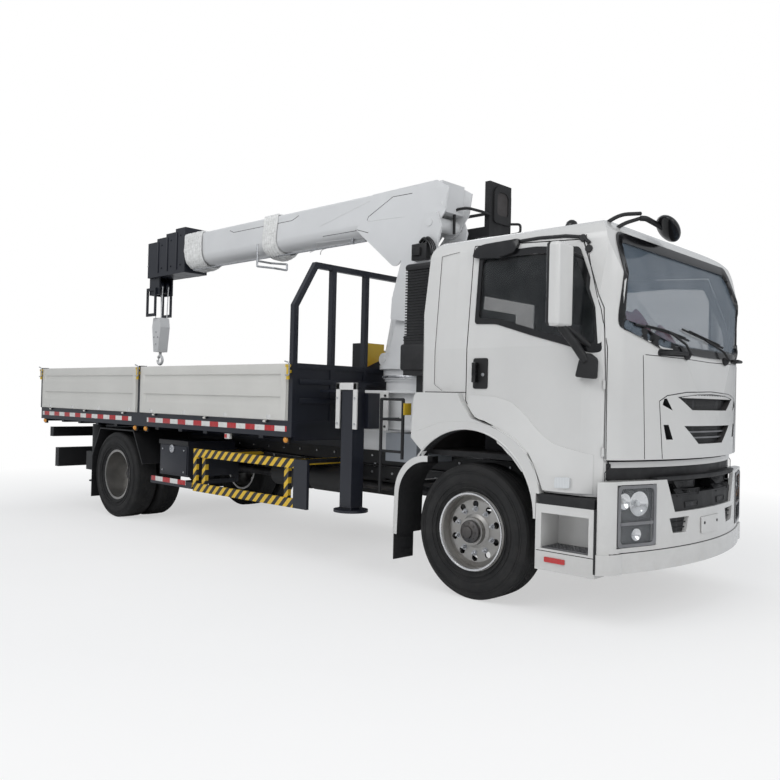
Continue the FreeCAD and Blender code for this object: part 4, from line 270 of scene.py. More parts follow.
def glass(name, colour, alpha, rough=0.03):
    """Tinted pane: see-through, with a slight film of dust."""
    t = Paint(name)
    base, dust = t.stained(colour, (0.7, 0.7, 0.7), (3.5, 6), 0.4, 0.8, 0.12)
    return t.set(Base_Color=base, Roughness=t.map(dust, 0, 0.15, rough, 0.16),
                 Alpha=t.map(dust, 0, 0.15, alpha, alpha + 0.1), IOR=1.5, Specular_IOR_Level=0.75)


def banded(name, colours, pitch, soft, worn, bumps, rough, lean=0.0):
    """Scuffed bands of two colours along the truck, upright or slanting: safety bands, reflective tape."""
    t = Paint(name)
    x, _, z = t.place()
    along = t.math("MULTIPLY_ADD", z, lean, x) if lean else x
    share = t.math("FRACT", t.math("DIVIDE", along, pitch))
    base = t.mix(t.map(share, 0.5 - soft, 0.5 + soft, 0, 1), *colours)
    base, _ = t.stained(base, *worn)
    t.bump(t.noise(*bumps[0]), *bumps[1])
    return t.set(Base_Color=base, Roughness=rough)


def woven(name, colour, cell=90, rough=0.5):
    """Black mesh: a honeycomb of dark holes in slightly lighter plastic."""
    t = Paint(name)
    cells = t.pattern("Voronoi", "Distance", feature="DISTANCE_TO_EDGE", Scale=cell, Randomness=0.0)
    wall = t.map(cells, 0.06, 0.16, 1.0, 0.0)
    t.bump(wall, 0.5, 0.003)
    return t.set(Base_Color=t.mix(wall, (0.003, 0.003, 0.003), colour), Roughness=rough)


def lamp_shell(name, colour):
    """Coloured lamp plastic with a ribbed lens."""
    t = Paint(name)
    ribs = t.pattern("Wave", "Fac", Scale=26, Distortion=0.4)
    t.bump(ribs, 0.12, 0.001)
    return t.set(Base_Color=t.mix(t.map(ribs, 0, 1, 0, 0.35), colour, tint(colour, 0.6)), Roughness=0.12,
                 Coat_Weight=0.6)


def cloth(name, colour):
    """Woven cloth with uneven dye."""
    t = Paint(name)
    base, _ = t.shades(colour, (5, 6), (0.3, 0.8), (0.75, 1.15))
    t.bump(t.pattern("Wave", "Fac", Scale=420), 0.2, 0.0006)
    return t.set(Base_Color=base, Roughness=0.85, Sheen_Weight=0.3)


def film(name):
    """Thin cloudy plastic wrap, its colour lighter on the folds' crests and darker in their hollows: painted
    highlight and painted shade.
    """
    t = Paint(name)
    folds = t.noise(16, 7, 0.62, (1.0, 2.4, 2.4))
    t.bump(folds, 0.5, 0.006)
    # Painted shade and highlight: the colour runs from darker in the folds' hollows to lighter on their
    # crests.
    return t.set(Base_Color=t.ramp(folds, (0.3, (0.72, 0.72, 0.70)), (0.7, (0.93, 0.93, 0.92))),
                 Roughness=t.map(folds, 0.3, 0.7, 0.2, 0.5), Coat_Weight=0.3)


M = {
    "white": paint("white_paint", (0.69, 0.685, 0.67), 0.24, 0.75, 0.12, low_dust=0.28),
    "crane": paint("crane_white", (0.75, 0.755, 0.76), 0.34, 0.35, 0.2),
    "navy": paint("navy_black", (0.009, 0.011, 0.019), 0.42, 0.12, 0.2, (0.08, 0.075, 0.07), 0.08),
    "frame": paint("frame_black", (0.008, 0.0085, 0.010), 0.5, 0.04, 0.3, (0.08, 0.07, 0.06), 0.14),
    "cream": paint("cream_panel", (0.655, 0.645, 0.61), 0.42, 0.2),
    "grey": paint("tank_grey", (0.30, 0.32, 0.35), 0.42, 0.2, 0.4),
    "yellow": paint("valve_yellow", (0.75, 0.50, 0.03), 0.4, 0.2, 0.4),
    "redpaint": paint("valve_red", (0.45, 0.03, 0.03), 0.4, 0.2, 0.4),
    "hazard": banded("hazard_bands", ((0.02, 0.021, 0.025), (0.78, 0.5, 0.035)), 0.115, 0.008,
                     ((0.25, 0.22, 0.18), (14, 8, 0.7), 0.55, 0.8, 0.35), ((120, 3), (0.05, 0.001)), 0.42,
                     -1.0),
    "tape": banded("warning_tape", ((0.46, 0.02, 0.025), (0.72, 0.72, 0.70)), 0.305, 0.01,
                   ((0.3, 0.27, 0.25), (30, 6), 0.5, 0.8, 0.3), ((220, 2), (0.05, 0.0008)), 0.35),
    "rubber": rubber("tyre_rubber"),
    "rim": metal("rim_metal", (0.44, 0.43, 0.415), 0.38, 0.3),
    "cast": metal("cast_iron", (0.09, 0.09, 0.095), 0.6, 0.5),
    "chrome": metal("chromed_rod", (0.85, 0.86, 0.88), 0.08, 0.05, (1, 1, 60)),
    "steel": metal("bright_steel", (0.55, 0.56, 0.58), 0.28, 0.15),
    "bezel": metal("silver_bezel", (0.30, 0.30, 0.31), 0.42, 0.1),
    "mirror": metal("mirror_silver", (0.92, 0.93, 0.94), 0.03, 0.03),
    "tread": metal("tread_plate", (0.22, 0.22, 0.23), 0.5, 0.4),
    "hub": metal("hub_paint", (0.10, 0.10, 0.105), 0.5, 0.4),
    "polished": metal("polished_edge", (0.78, 0.78, 0.79), 0.22, 0.1),
    "black": plastic("black_plastic", (0.009, 0.009, 0.010)),
    "gloss": plastic("black_gloss", (0.007, 0.007, 0.008), 0.16, 400, 0.02),
    "trim": plastic("cab_trim", (0.055, 0.05, 0.05), 0.8, 320, 0.25),
    "liner": plastic("arch_liner", (0.012, 0.012, 0.013), 0.85, 160, 0.3),
    "mesh": woven("grille_mesh", (0.035, 0.035, 0.038)),
    "pane": glass("pane", (0.02, 0.025, 0.028), 0.28),
    "lens": glass("lamp_lens", (0.42, 0.44, 0.46), 0.14, 0.02),
    "screen": glass("screen_glass", (0.17, 0.22, 0.275), 0.42),
    "amber": lamp_shell("amber_lens", (0.85, 0.34, 0.03)),
    "red": lamp_shell("red_lens", (0.55, 0.02, 0.02)),
    "clear": lamp_shell("clear_lens", (0.72, 0.74, 0.75)),
    "redcloth": cloth("red_cloth", (0.52, 0.03, 0.06)),
    "seat": cloth("seat_cloth", (0.09, 0.09, 0.10)),
    "film": film("wrap_film"),
}


# ---------------------------------------------------------------- colours of the CAD nodes
def pair(*stems):
    """The right and left nodes of some stems."""
    return [f"{stem}_{side}" for side, _ in SIDES for stem in stems]


def give(material, *names):
    for name in names:
        mesh = NODES[name].data
        mesh.materials.clear()
        mesh.materials.append(M[material])
        for polygon in mesh.polygons:
            polygon.material_index = 0
            polygon.use_smooth = True


def recolour(names, *choices):
    """Give some faces of nodes other materials; a choice is (material, test of centre and normal)."""
    for name in names:
        mesh = NODES[name].data
        start = len(mesh.materials)
        for material, _ in choices:
            mesh.materials.append(M[material])
        for polygon in mesh.polygons:
            for index, (_, test) in enumerate(choices):
                if test(polygon.center, polygon.normal):
                    polygon.material_index = start + index
                    break


def faces_wheel(centre, normal):
    hub = at(0, centre.y, WHEEL_Z)
    return normal.dot(hub - centre) > 0.15 or normal.y * math.copysign(1, centre.y) < -0.5


def faces_hub(centre, normal):
    hub = at(0 if centre.x > AXLE_X - 2 else REAR_AXLE, centre.y, WHEEL_Z)
    return 0.15 < (centre - hub).length < 0.222 and abs(normal.y) < 0.5


give("frame", "chassis_frame", "ladder", "valve_bank")
give("cast", "axles", "leaf_springs", "engine", *pair("knuckle"))
give("white", "cab_shell", "bumper", "front_fenders", "cab_steps", *pair("door", "mirror"))
give("pane", *pair("door_glass"))
give("screen", "windscreen")
give("lens", "headlamps")
give("black", "front_grilles", "rear_mudguards", "operator_seat", "air_intake")
give("trim", "cab_interior")
give("navy", "bed_deck", "headboard", "toolbox", "side_guards", *(f"boom_section_{k}" for k in range(1, 5)),
     *pair("outrigger_beam", "outrigger_foot", "rear_jack_foot"))
give("cream", "tailgate", *pair("side_rear", "side_front"))
give("crane", "crane_base", "crane_column", "boom_base", "lift_barrel", "hook_block", "slew_ring")
give("chrome", "lift_rod")
give("grey", "tanks")
give("rubber", *pair("front_tyre", "rear_tyres"))
give("rim", *pair("front_rim", "rear_rims"))

CAB_MIDDLE = at(0.45, 0, 1.95)
recolour(["cab_shell", *pair("door")],
         ("liner", lambda c, n: n.z < -0.35 and c.z < 1.7),
         ("trim", lambda c, n: c.z > 0.9 and n.dot(CAB_MIDDLE - c) > 0.05))
recolour(["cab_shell"], ("liner", lambda c, n: c.z < 1.3 and 1.12 < abs(c.y) < 1.14))
recolour(["front_fenders"], ("liner", faces_wheel))
recolour(["bumper"], ("liner", lambda c, n: n.dot(at(0.6, c.y * 0.5, c.z) - c) > 0.3))
recolour(["front_grilles"], ("mesh", lambda c, n: c.z > 1.15 or abs(c.y) < 0.62 and c.z < 0.73))
recolour(["cab_interior"], ("seat", lambda c, n: c.x < AXLE_X + 0.4))
recolour(pair("mirror"), ("black", lambda c, n: abs(c.y) < 1.262 or c.z < 2.005))
recolour(["side_guards"], ("hazard", lambda c, n: AXLE_X - 3.76 < c.x < AXLE_X - 1.975))
# Partly the tanks' own black and partly painted shade: their rear part and low faces take the frame's black,
# standing for the shade under the bed.
recolour(["tanks"], ("frame", lambda c, n: c.x < AXLE_X - 1.15 or c.z < 0.78))
recolour(["valve_bank"], ("yellow", lambda c, n: abs(n.x) > 0.6 and c.z > 1.86),
         ("redpaint", lambda c, n: c.z < 1.84))
recolour(["crane_base"], ("navy", lambda c, n: abs(c.y) > 0.5 and c.x < AXLE_X - 1.6))
recolour(pair("front_rim", "rear_rims"), ("hub", faces_hub))
for node in NODES.values():
    smooth = node.modifiers.new("smooth", "EDGE_SPLIT")
    smooth.split_angle = math.radians(32)

# ---------------------------------------------------------------- pieces
def new_piece(name, data, material, body):
    """An object of the visual model that rides on a body."""
    thing = place_in_scene(name, data)
    data.materials.append(M[material])
    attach(thing, body)
    return thing


def from_bmesh(name, work, material, body=TRUCK, smooth=30, bevel=None):
    """A piece from a finished mesh, its edges chamfered and its shading split at sharp angles."""
    mesh = bpy.data.meshes.new(name)
    bmesh.ops.recalc_face_normals(work, faces=work.faces)
    work.to_mesh(mesh)
    work.free()
    for polygon in mesh.polygons:
        polygon.use_smooth = True
    thing = new_piece(name, mesh, material, body)
    if bevel:
        edge = thing.modifiers.new("edge", "BEVEL")
        edge.width = bevel
        edge.segments = 2
        edge.limit_method = "ANGLE"
        edge.angle_limit = math.radians(35)
        edge.use_clamp_overlap = True
    thing.modifiers.new("split", "EDGE_SPLIT").split_angle = math.radians(smooth)
    return thing


def thicken(thing, offset=-1):
    """Give a sheet the thickness of thin stuff."""
    shell = thing.modifiers.new("shell", "SOLIDIFY")
    shell.thickness = 0.0015
    shell.offset = offset


def block(x, y, z, sign=1):
    """A box's two corners from its ranges: x from the front axle, y mirrored where the sign is negative."""
    low_y, high_y = sorted(sign * value for value in y)
    return Vector((AXLE_X + x[0], low_y, z[0])), Vector((AXLE_X + x[1], high_y, z[1]))


def around(centre, x, y, z):
    """A box's two corners at half its sizes from its centre."""
    half = Vector((x, y, z))
    return centre - half, centre + half


def add_box(work, low, high):
    corners = [work.verts.new(spot) for spot in itertools.product(*zip(low, high))]
    for face in ((0, 1, 3, 2), (4, 6, 7, 5), (0, 4, 5, 1), (2, 3, 7, 6), (0, 2, 6, 4), (1, 5, 7, 3)):
        work.faces.new([corners[k] for k in face])


def boxes(name, spans, material, body=TRUCK, bevel=0.004):
    """Several chamfered blocks as one piece, each given by its two corners."""
    work = bmesh.new()
    for low, high in spans:
        add_box(work, low, high)
    return from_bmesh(name, work, material, body, bevel=bevel)


def add_lathe(work, profile, centre, axis, steps):
    """Turn a profile of (reach along the axis, radius) about that axis."""
    axis = Vector(axis).normalized()
    side = axis.cross(Vector((0, 0, 1)))
    if side.length < 0.01:
        side = Vector((0, 1, 0))
    side.normalize()
    up = side.cross(axis)
    rings = []
    for reach, radius in profile:
        middle = Vector(centre) + axis * reach
        angles = [TURN * k / steps for k in range(steps if radius > 1e-6 else 1)]
        rings.append([work.verts.new(middle + (side * math.cos(a) + up * math.sin(a)) * radius)
                      for a in angles])
    for a, b in zip(rings, rings[1:]):
        for k in range(steps):
            n = (k + 1) % steps
            if len(a) == 1:
                work.faces.new((a[0], b[n], b[k]))
            elif len(b) == 1:
                work.faces.new((a[k], a[n], b[0]))
            else:
                work.faces.new((a[k], a[n], b[n], b[k]))


def turned(name, forms, material, body=TRUCK, smooth=30):
    """Several turned forms as one piece; a form is (profile, centre, axis, steps)."""
    work = bmesh.new()
    for form in forms:
        add_lathe(work, *form)
    return from_bmesh(name, work, material, body, smooth)


def disc(spot, axis, radius, depth, steps):
    """A round boss with a softened edge, as a turned form."""
    soft = min(radius, depth) * 0.15
    return [(0, radius), (depth - soft, radius), (depth, radius - soft), (depth, 0)], spot, axis, steps


def bolt(spot, axis, radius, depth):
    """A hexagonal head, as a turned form."""
    return [(0, radius), (depth * 0.85, radius), (depth, radius * 0.86), (depth, 0)], spot, axis, 6


def circle(centre, radius, count, axes="xz", turn=0.0):
    """Points on a circle in a plane, with each one's direction from the centre."""
    for k in range(count):
        angle = turn + TURN * k / count
        way = Vector((0, 0, 0))
        setattr(way, axes[0], math.cos(angle))
        setattr(way, axes[1], math.sin(angle))
        yield centre + way * radius, way


def outlines(loops):
    """Points and edges of some closed loops, for filling."""
    points, edges = [], []
    for loop in loops:
        start = len(points)
        points.extend(Vector(p) for p in loop)
        edges.extend((start + k, start + (k + 1) % len(loop)) for k in range(len(loop)))
    return points, edges


def inside(point, loops):
    """Whether a flat point lies inside the first loop and outside the others."""
    x, y = point[0], point[1]
    hits = []
    for loop in loops:
        hit = False
        for (x0, y0), (x1, y1) in zip(loop, loop[1:] + loop[:1]):
            if (y0 > y) != (y1 > y) and x < (x1 - x0) * (y - y0) / (y1 - y0) + x0:
                hit = not hit
        hits.append(hit)
    return hits[0] and not any(hits[1:])


def filled(points, edges, loops, close):
    """Triangles that fill a first loop round the holes of the others."""
    places, _, faces = delaunay_2d_cdt(points, edges, [], 0, close)[:3]
    return places, [f for f in faces if inside(sum((places[k] for k in f), Vector((0, 0))) / len(f), loops)]


def plate_between(work, faces, top, under):
    """Faces over and under a filled outline, and walls round its borders."""
    borders = {}
    for f in faces:
        work.faces.new([top[k] for k in f])
        work.faces.new([under[k] for k in reversed(f)])
        for a, b in zip(f, f[1:] + f[:1]):
            key = (min(a, b), max(a, b))
            borders[key] = borders.get(key, 0) + 1
    for (a, b), times in borders.items():
        if times == 1:
            work.faces.new((top[a], top[b], under[b], under[a]))


def extruded(name, outline, plane, near, far, material, body=TRUCK, bevel=0.003):
    """A flat outline given thickness; plane names its two axes."""
    work = bmesh.new()
    places, faces = filled(*outlines([outline]), [outline], 1e-7)
    spot = {"xy": lambda p, d: (p[0], p[1], d), "xz": lambda p, d: (p[0], d, p[1])}[plane]
    plate_between(work, faces, *([work.verts.new(spot(p, depth)) for p in places] for depth in (near, far)))
    bmesh.ops.dissolve_limit(work, angle_limit=0.02, verts=work.verts, edges=work.edges)
    return from_bmesh(name, work, material, body, bevel=bevel)


# ---------------------------------------------------------------- lines
def rect(u0, v0, u1, v1):
    return [(u0, v0), (u1, v0), (u1, v1), (u0, v1)]


def ax(points):
    """Turn points given from the front axle into the row's own, along the truck."""
    return [(AXLE_X + x, z) for x, z in points]


def shrunk(loop, centre, across, up):
    """A loop drawn in towards a centre."""
    return [(centre[0] + (u - centre[0]) * across, centre[1] + (v - centre[1]) * up) for u, v in loop]


def resample(loop, step, closed=True):
    """Points along a loop at most a step apart, its corners kept."""
    points = []
    for a, b in zip(loop, loop[1:] + loop[:1] if closed else loop[1:]):
        a, b = Vector(a), Vector(b)
        count = max(1, math.ceil((b - a).length / step))
        points.extend(a + (b - a) * (k / count) for k in range(count))
    return points if closed else points + [Vector(loop[-1])]


def bend_at(before, corner, after, radius, steps=5):
    """Points of a round bend in place of a corner."""
    before, corner, after = Vector(before), Vector(corner), Vector(after)
    a, b = before - corner, after - corner
    reach = min(radius, a.length * 0.45, b.length * 0.45)
    start, end = corner + a.normalized() * reach, corner + b.normalized() * reach
    shares = [s / steps for s in range(steps + 1)]
    return [start * (1 - t) ** 2 + corner * 2 * t * (1 - t) + end * t ** 2 for t in shares]


def rounded(loop, radius):
    """A loop with its corners rounded."""
    corners = zip(loop[-1:] + loop[:-1], loop, loop[1:] + loop[:1])
    return [point for three in corners for point in bend_at(*three, radius)]


def bent(line, radius):
    """Points along a bent tube's middle: straight runs with round bends."""
    bends = [point for three in zip(line, line[1:], line[2:]) for point in bend_at(*three, radius)]
    return [Vector(line[0]), *bends, Vector(line[-1])]


def rods(name, lines, radius, material, body=TRUCK, sides=3, closed=False):
    """Round bars or beads along lines of points, all in one curve object."""
    curve = bpy.data.curves.new(name, "CURVE")
    curve.dimensions = "3D"
    curve.bevel_depth = radius
    curve.bevel_resolution = sides
    curve.use_fill_caps = True
    for line in lines:
        spline = curve.splines.new("POLY")
        spline.points.add(len(line) - 1)
        spline.use_cyclic_u = closed
        for point, place in zip(spline.points, line):
            point.co = (*place, 1)
    return new_piece(name, curve, material, body)


def bar(name, corners, radius, material, body=TRUCK, bend=0.05):
    """A stiff bent tube."""
    return rods(name, [bent(corners, bend)], radius, material, body)


# ---------------------------------------------------------------- forms laid on the CAD's surfaces
def surface_of(*names):
    """A search tree over some CAD nodes' rest shapes."""
    verts, faces = [], []
    for name in names:
        mesh = NODES[name].data
        start = len(verts)
        verts.extend(v.co.copy() for v in mesh.vertices)
        faces.extend([start + k for k in p.vertices] for p in mesh.polygons)
    return BVHTree.FromPolygons(verts, faces)


VIEWS = {
    "front": (Vector((-1, 0, 0)), lambda u, v: Vector((20, u, v))),
    "right": (Vector((0, 1, 0)), lambda u, v: Vector((u, -20, v))),
    "left": (Vector((0, -1, 0)), lambda u, v: Vector((u, 20, v))),
    "top": (Vector((0, 0, -1)), lambda u, v: Vector((u, v, 20))),
    "rear": (Vector((1, 0, 0)), lambda u, v: Vector((-20, u, v))),
}


def onto(surface, view, u, v, fallback=None, reach=0.35):
    """Where a look along a view meets the surface, or over a hole its edge's level; and the normal."""
    direction, start = VIEWS[view]
    origin = start(u, v)
    spot, normal, _, _ = surface.ray_cast(origin, direction)
    if spot is None or (fallback is not None and (spot - fallback).dot(direction) > reach):
        spot = fallback if fallback is not None else origin
        for _ in range(3):
            near, normal, _, _ = surface.find_nearest(spot)
            spot = origin + direction * (near - origin).dot(direction)
    return spot, -normal if normal.dot(direction) > 0 else normal


def touch(surface, view, u, v, fallback=None):
    return onto(surface, view, u, v, fallback)[0]


def skin(name, outline, view, surface, lift, thick, material, body=TRUCK, step=0.03, holes=(), smooth=40):
    """A sheet that follows the surface within an outline, lifted off it and given thickness."""
    loops = [resample(loop, step) for loop in (outline, *holes)]
    points, edges = outlines(loops)
    (low_u, high_u), (low_v, high_v) = ((min(side), max(side)) for side in zip(*loops[0]))
    u = low_u + step / 2
    while u < high_u:
        v = low_v + step / 2
        while v < high_v:
            if inside((u, v), loops):
                points.append(Vector((u, v)))
            v += step
        u += step
    places, faces = filled(points, edges, loops, 1e-6)
    direction = VIEWS[view][0]
    work = bmesh.new()
    top, under = [], []
    spot = None
    for u, v in places:
        spot = surface(u, v) if callable(surface) else touch(surface, view, u, v, spot)
        rise = thick(u, v) if callable(thick) else thick
        top.append(work.verts.new(spot - direction * (lift + rise)))
        under.append(work.verts.new(spot - direction * lift))
    plate_between(work, faces, top, under)
    return from_bmesh(name, work, material, body, smooth)


def seams(name, lines, view, surface, radius, material, body=TRUCK, step=0.05, closed=False):
    """Thin beads along a surface, all in one curve object."""
    beads = []
    for line in lines:
        spot, bead = None, []
        for u, v in resample(line, step, closed):
            spot = touch(surface, view, u, v, spot)
            bead.append(spot + VIEWS[view][0] * radius * 0.4)
        beads.append(bead)
    return rods(name, beads, radius, material, body, 1, closed)


def draped(name, grid, material, body=TRUCK, smooth=60, closed=False):
    """A sheet through rows of points; closed rows run right round."""
    work = bmesh.new()
    rows = [[work.verts.new(point) for point in row] for row in grid]
    width = len(rows[0])
    for a, b in zip(rows, rows[1:]):
        for k in range(width if closed else width - 1):
            n = (k + 1) % width
            work.faces.new((a[k], a[n], b[n], b[k]))
    return from_bmesh(name, work, material, body, smooth)


def both(make):
    """Make a piece on the right, then on the left."""
    for side, sign in SIDES:
        make(side, sign)


cab_skin = surface_of("cab_shell", "windscreen", *pair("door", "door_glass"))
nose_skin = surface_of("cab_shell")


# ---------------------------------------------------------------- cab sides and nose
def side_trim(side, sign):
    """Window surround, visor, gutter, door handle and pillar seams on one side."""
    door = f"door_{side}_body"
    door_skin = surface_of(f"door_{side}")
    outer = ax([(0.0, 2.085), (0.0, 2.625), (0.50, 2.625), (0.86, 2.585), (0.955, 2.36), (1.035, 2.15),
                (1.05, 1.85),
                (0.985, 1.842), (0.80, 1.90), (0.52, 1.977), (0.20, 2.075)])
    hole = ax([(0.034, 2.13), (0.034, 2.574), (0.50, 2.574), (0.82, 2.545), (0.912, 2.33), (0.99, 2.14),
               (1.005, 1.905),
               (0.80, 1.952), (0.55, 2.017), (0.24, 2.112)])

    def wall(u, v):
        """The door's outer wall, carried on across its window."""
        corner = max(0.0, u - AXLE_X - 0.93)
        level = touch(door_skin, side, AXLE_X - 0.03, v)
        return Vector((u, level.y - sign * (0.25 * corner + 1.2 * corner ** 2), v))

    skin(f"window_surround_{side}", rounded(outer, 0.03), side, wall, 0.001, 0.006, "gloss", door, 0.04,
         [rounded(hole, 0.03)])
    visor = ax([(-0.05, 2.60), (-0.02, 2.675), (0.05, 2.692), (0.37, 2.70), (0.34, 2.60), (0.18, 2.572),
                (0.0, 2.585)])
    skin(f"visor_{side}", rounded(visor, 0.03), side, door_skin, 0.001, 0.034, "gloss", door, 0.04)
    handle = ax([(0.008, 1.594), (0.008, 1.824), (0.142, 1.824), (0.142, 1.594)])
    skin(f"handle_plate_{side}", rounded(handle, 0.02), side, door_skin, 0.0005, 0.006, "black", door, 0.05)
    y = 1.175
    boxes(f"door_handle_{side}", [
        block((0.028, 0.062), (y + 0.014, y + 0.056), (1.64, 1.79), sign),
        block((0.03, 0.06), (y, y + 0.0476), (1.765, 1.79), sign),
        block((0.03, 0.06), (y, y + 0.0476), (1.64, 1.665), sign),
    ], "gloss", door, 0.006)
    turned(f"door_lock_{side}", [disc(at(0.10, sign * (y + 0.005), 1.70), (0, sign, 0), 0.013, 0.006, 20)],
           "steel", door, 35)
    pillar = [(1.082, 0.95), (1.079, 1.40), (1.078, 1.88), (1.04, 2.14), (0.955, 2.43), (0.90, 2.665)]
    seams(f"cab_lines_{side}", [ax([(-0.515, 1.565), (-0.06, 1.565)]), ax(pillar)], side, cab_skin, 0.0035,
          "gloss")
    points = []
    for x, z in ax([(0.33, 2.68), (0.52, 2.684), (0.74, 2.672), (0.88, 2.648), (0.935, 2.60)]):
        spot, normal = onto(cab_skin, side, x, z, Vector((x, sign * 1.16, z)))
        points.append(spot + normal * 0.004)
    rods(f"gutter_{side}", [points], 0.013, "black")


both(side_trim)


def mirrored(line):
    """A line's points with their first numbers negated, in turn from the far end."""
    return [(-u, v) for u, v in line][::-1]


def nose_trim():
    """The screen's black border, the grille's bars and arch, and the nose's seams."""
    half = 1.175
    border = [(half - 0.215, 2.695), (half - 0.165, 2.62), (half - 0.11, 2.10), (half - 0.115, 2.02),
              (half - 0.49, 1.885), (0.35, 1.868)]
    clear = [(half - 0.275, 2.625), (half - 0.225, 2.57), (half - 0.165, 2.10), (half - 0.185, 2.075),
             (half - 0.52, 1.955),
             (0.35, 1.935)]
    loops = []
    for right_half, foot in ((border, 1.862), (clear, 1.93)):
        loop = [*right_half, (0, foot), *mirrored(right_half)]
        loops.append(rounded(loop[-1:] + loop[:-1], 0.05))
    skin("screen_border", loops[0], "front", nose_skin, 0.003, 0.007, "gloss", step=0.035, holes=loops[1:])
    panel = [(-0.66, 1.13), (-0.70, 1.53), (-0.62, 1.57), (-0.40, 1.598)]
    seams("grille_panel_seam", [[*panel, (0, 1.61), *mirrored(panel)]], "front", nose_skin, 0.004, "gloss")
    corners = [[(sign * 0.83, 1.13), (sign * 0.845, 1.50), (sign * 0.86, 1.84)] for sign in (-1, 1)]
    seams("nose_corner_seams", corners, "front", nose_skin, 0.0035, "gloss")
    foot = [(-0.84, 1.845), (-0.42, 1.835)]
    seams("screen_foot_seam", [[*foot, (0, 1.83), *mirrored(foot)]], "front", nose_skin, 0.003, "gloss")
    for index, height in enumerate((1.271, 1.313)):
        reach = 0.24 + (height - 1.226) * 1.5
        skin(f"grille_slat_{index}", rect(-reach, height - 0.006, reach, height + 0.006), "front",
             surface_of("front_grilles"), 0.012, 0.01, "bezel", step=0.08)
    arch = [(-0.50, 1.562), (-0.25, 1.585), (0, 1.592), (0.25, 1.585), (0.50, 1.562), (0.49, 1.554),
            (-0.49, 1.554)]
    skin("grille_arch", arch, "front", nose_skin, 0.0005, 0.003, "black", step=0.05)


nose_trim()


# ---------------------------------------------------------------- bumper and lamps
bumper_skin = surface_of("bumper", "headlamps")
grille_skin = surface_of("front_grilles")


def headlamp(side, sign):
    """Bezel, reflector bowls and dividing bar of one headlamp."""
    near, far = sign * 0.735, sign * 1.098
    case = rect(near, 0.545, far, 0.957)
    centre = ((near + far) / 2, 0.751)
    skin(f"lamp_bezel_{side}", rounded(case, 0.03), "front", bumper_skin, -0.004, 0.012, "bezel", step=0.04,
         holes=[rounded(shrunk(case, centre, 0.86, 0.90), 0.04)])
    skin(f"lamp_bar_{side}", rect(near + sign * 0.03, 0.69, far - sign * 0.03, 0.712), "front", bumper_skin,
         -0.002, 0.010,
         "bezel", step=0.04)
    skin(f"lamp_backing_{side}", shrunk(case, centre, 0.97, 0.97), "front", bumper_skin, -0.034, 0.004,
         "black", step=0.05)
    outward = Vector((0.94, sign * 0.34, 0))

    def seat(y, z, depth):
        return touch(bumper_skin, "front", sign * y, z) - Vector((depth, 0, 0))

    turned(f"lamp_bowls_{side}", [
        ([(0, 0), (0.003, r * 0.35), (0.012, r * 0.75), (0.022, r), (0.022, r * 1.05), (0, r * 1.05)],
         seat(y, z, 0.030), outward, 32)
        for y, z, r in ((0.88, 0.83, 0.080), (1.01, 0.85, 0.052), (0.90, 0.622, 0.040))
    ], "mirror", smooth=50)
    bulb = [(0, 0.017), (0.012, 0.017), (0.017, 0.012), (0.018, 0)]
    bulbs = [(bulb, seat(y, z, 0.026), outward, 20) for y, z in ((0.88, 0.83), (1.01, 0.85))]
    turned(f"lamp_bulbs_{side}", bulbs, "clear")
    turn = [(sign * 1.035, 0.735), (sign * 1.075, 0.735), (sign * 1.075, 0.93), (sign * 1.045, 0.93)]
    skin(f"lamp_turn_{side}", turn, "front", bumper_skin, -0.022, 0.006, "amber", step=0.04)


both(headlamp)


def bumper_trim():
    """Bare number plate, lip seam, slots of the dark centre, its brow and the pockets' bars."""
    skin("number_plate", rounded(rect(-0.165, 0.570, 0.165, 0.690), 0.016), "front", bumper_skin, 0.004,
         0.007, "white", step=0.05)
    turned("plate_bolts", [
        disc(touch(bumper_skin, "front", y, 0.645) + Vector((0.010, 0, 0)), (1, 0, 0), 0.011, 0.004, 16)
        for y in (-0.115, 0.115)
    ], "frame")
    seams("lip_seam", [[(y, 0.507) for y in (-1.16, -0.9, 0, 0.9, 1.16)]], "front", bumper_skin, 0.0035,
          "gloss")
    for index, (y, z, half, tall) in enumerate((
        (-0.315, 0.935, 0.155, 0.020), (-0.315, 0.880, 0.150, 0.020), (0.315, 0.935, 0.155, 0.020),
        (0.315, 0.880, 0.150, 0.020), (-0.27, 0.792, 0.09, 0.016), (0.27, 0.792, 0.09, 0.016),
    )):
        outer, slot = (
            [(y - foot, z - rise), (y + foot, z - rise), (y + head, z + rise), (y - head, z + rise)]
            for foot, head, rise in ((half, half + 0.008, tall + 0.006), (half - 0.008, half, tall))
        )
        skin(f"slot_rim_{index}", outer, "front", grille_skin, 0.0005, 0.006, "black", holes=[slot],
             step=0.05)
        skin(f"slot_mesh_{index}", slot, "front", grille_skin, 0.0005, 0.0015, "mesh", step=0.06)
    for name, edge, back, low, high, bevel in (
        ("brow_lip", [(0, 1.352), (0.3, 1.335), (0.6, 1.285), (0.705, 1.262)], [(0.70, 1.17)], 0.972, 1.004,
         0.008),
        ("nose_gap_band", [(0, 1.297), (0.3, 1.28), (0.6, 1.228), (0.8, 1.173), (1.0, 1.10), (1.08, 1.07)],
         [(1.08, 1.04), (0.8, 1.14)], 0.988, 1.098, 0.004),
    ):
        ring = [*reversed(edge), *((-y, x) for y, x in edge[1:]),
                *((-y, x) for y, x in back), *reversed(back)]
        extruded(name, [(AXLE_X + x, y) for y, x in ring], "xy", low, high, "black", bevel=bevel)
    for side, sign in SIDES:
        for index, height in enumerate((0.635, 0.672)):
            reach = 0.095 + (height - 0.6) * 0.35
            skin(f"pocket_bar_{side}_{index}",
                 rect(sign * 0.459 - reach, height - 0.004, sign * 0.459 + reach, height + 0.004), "front",
                 grille_skin,
                 0.006, 0.008, "black", step=0.06)


bumper_trim()

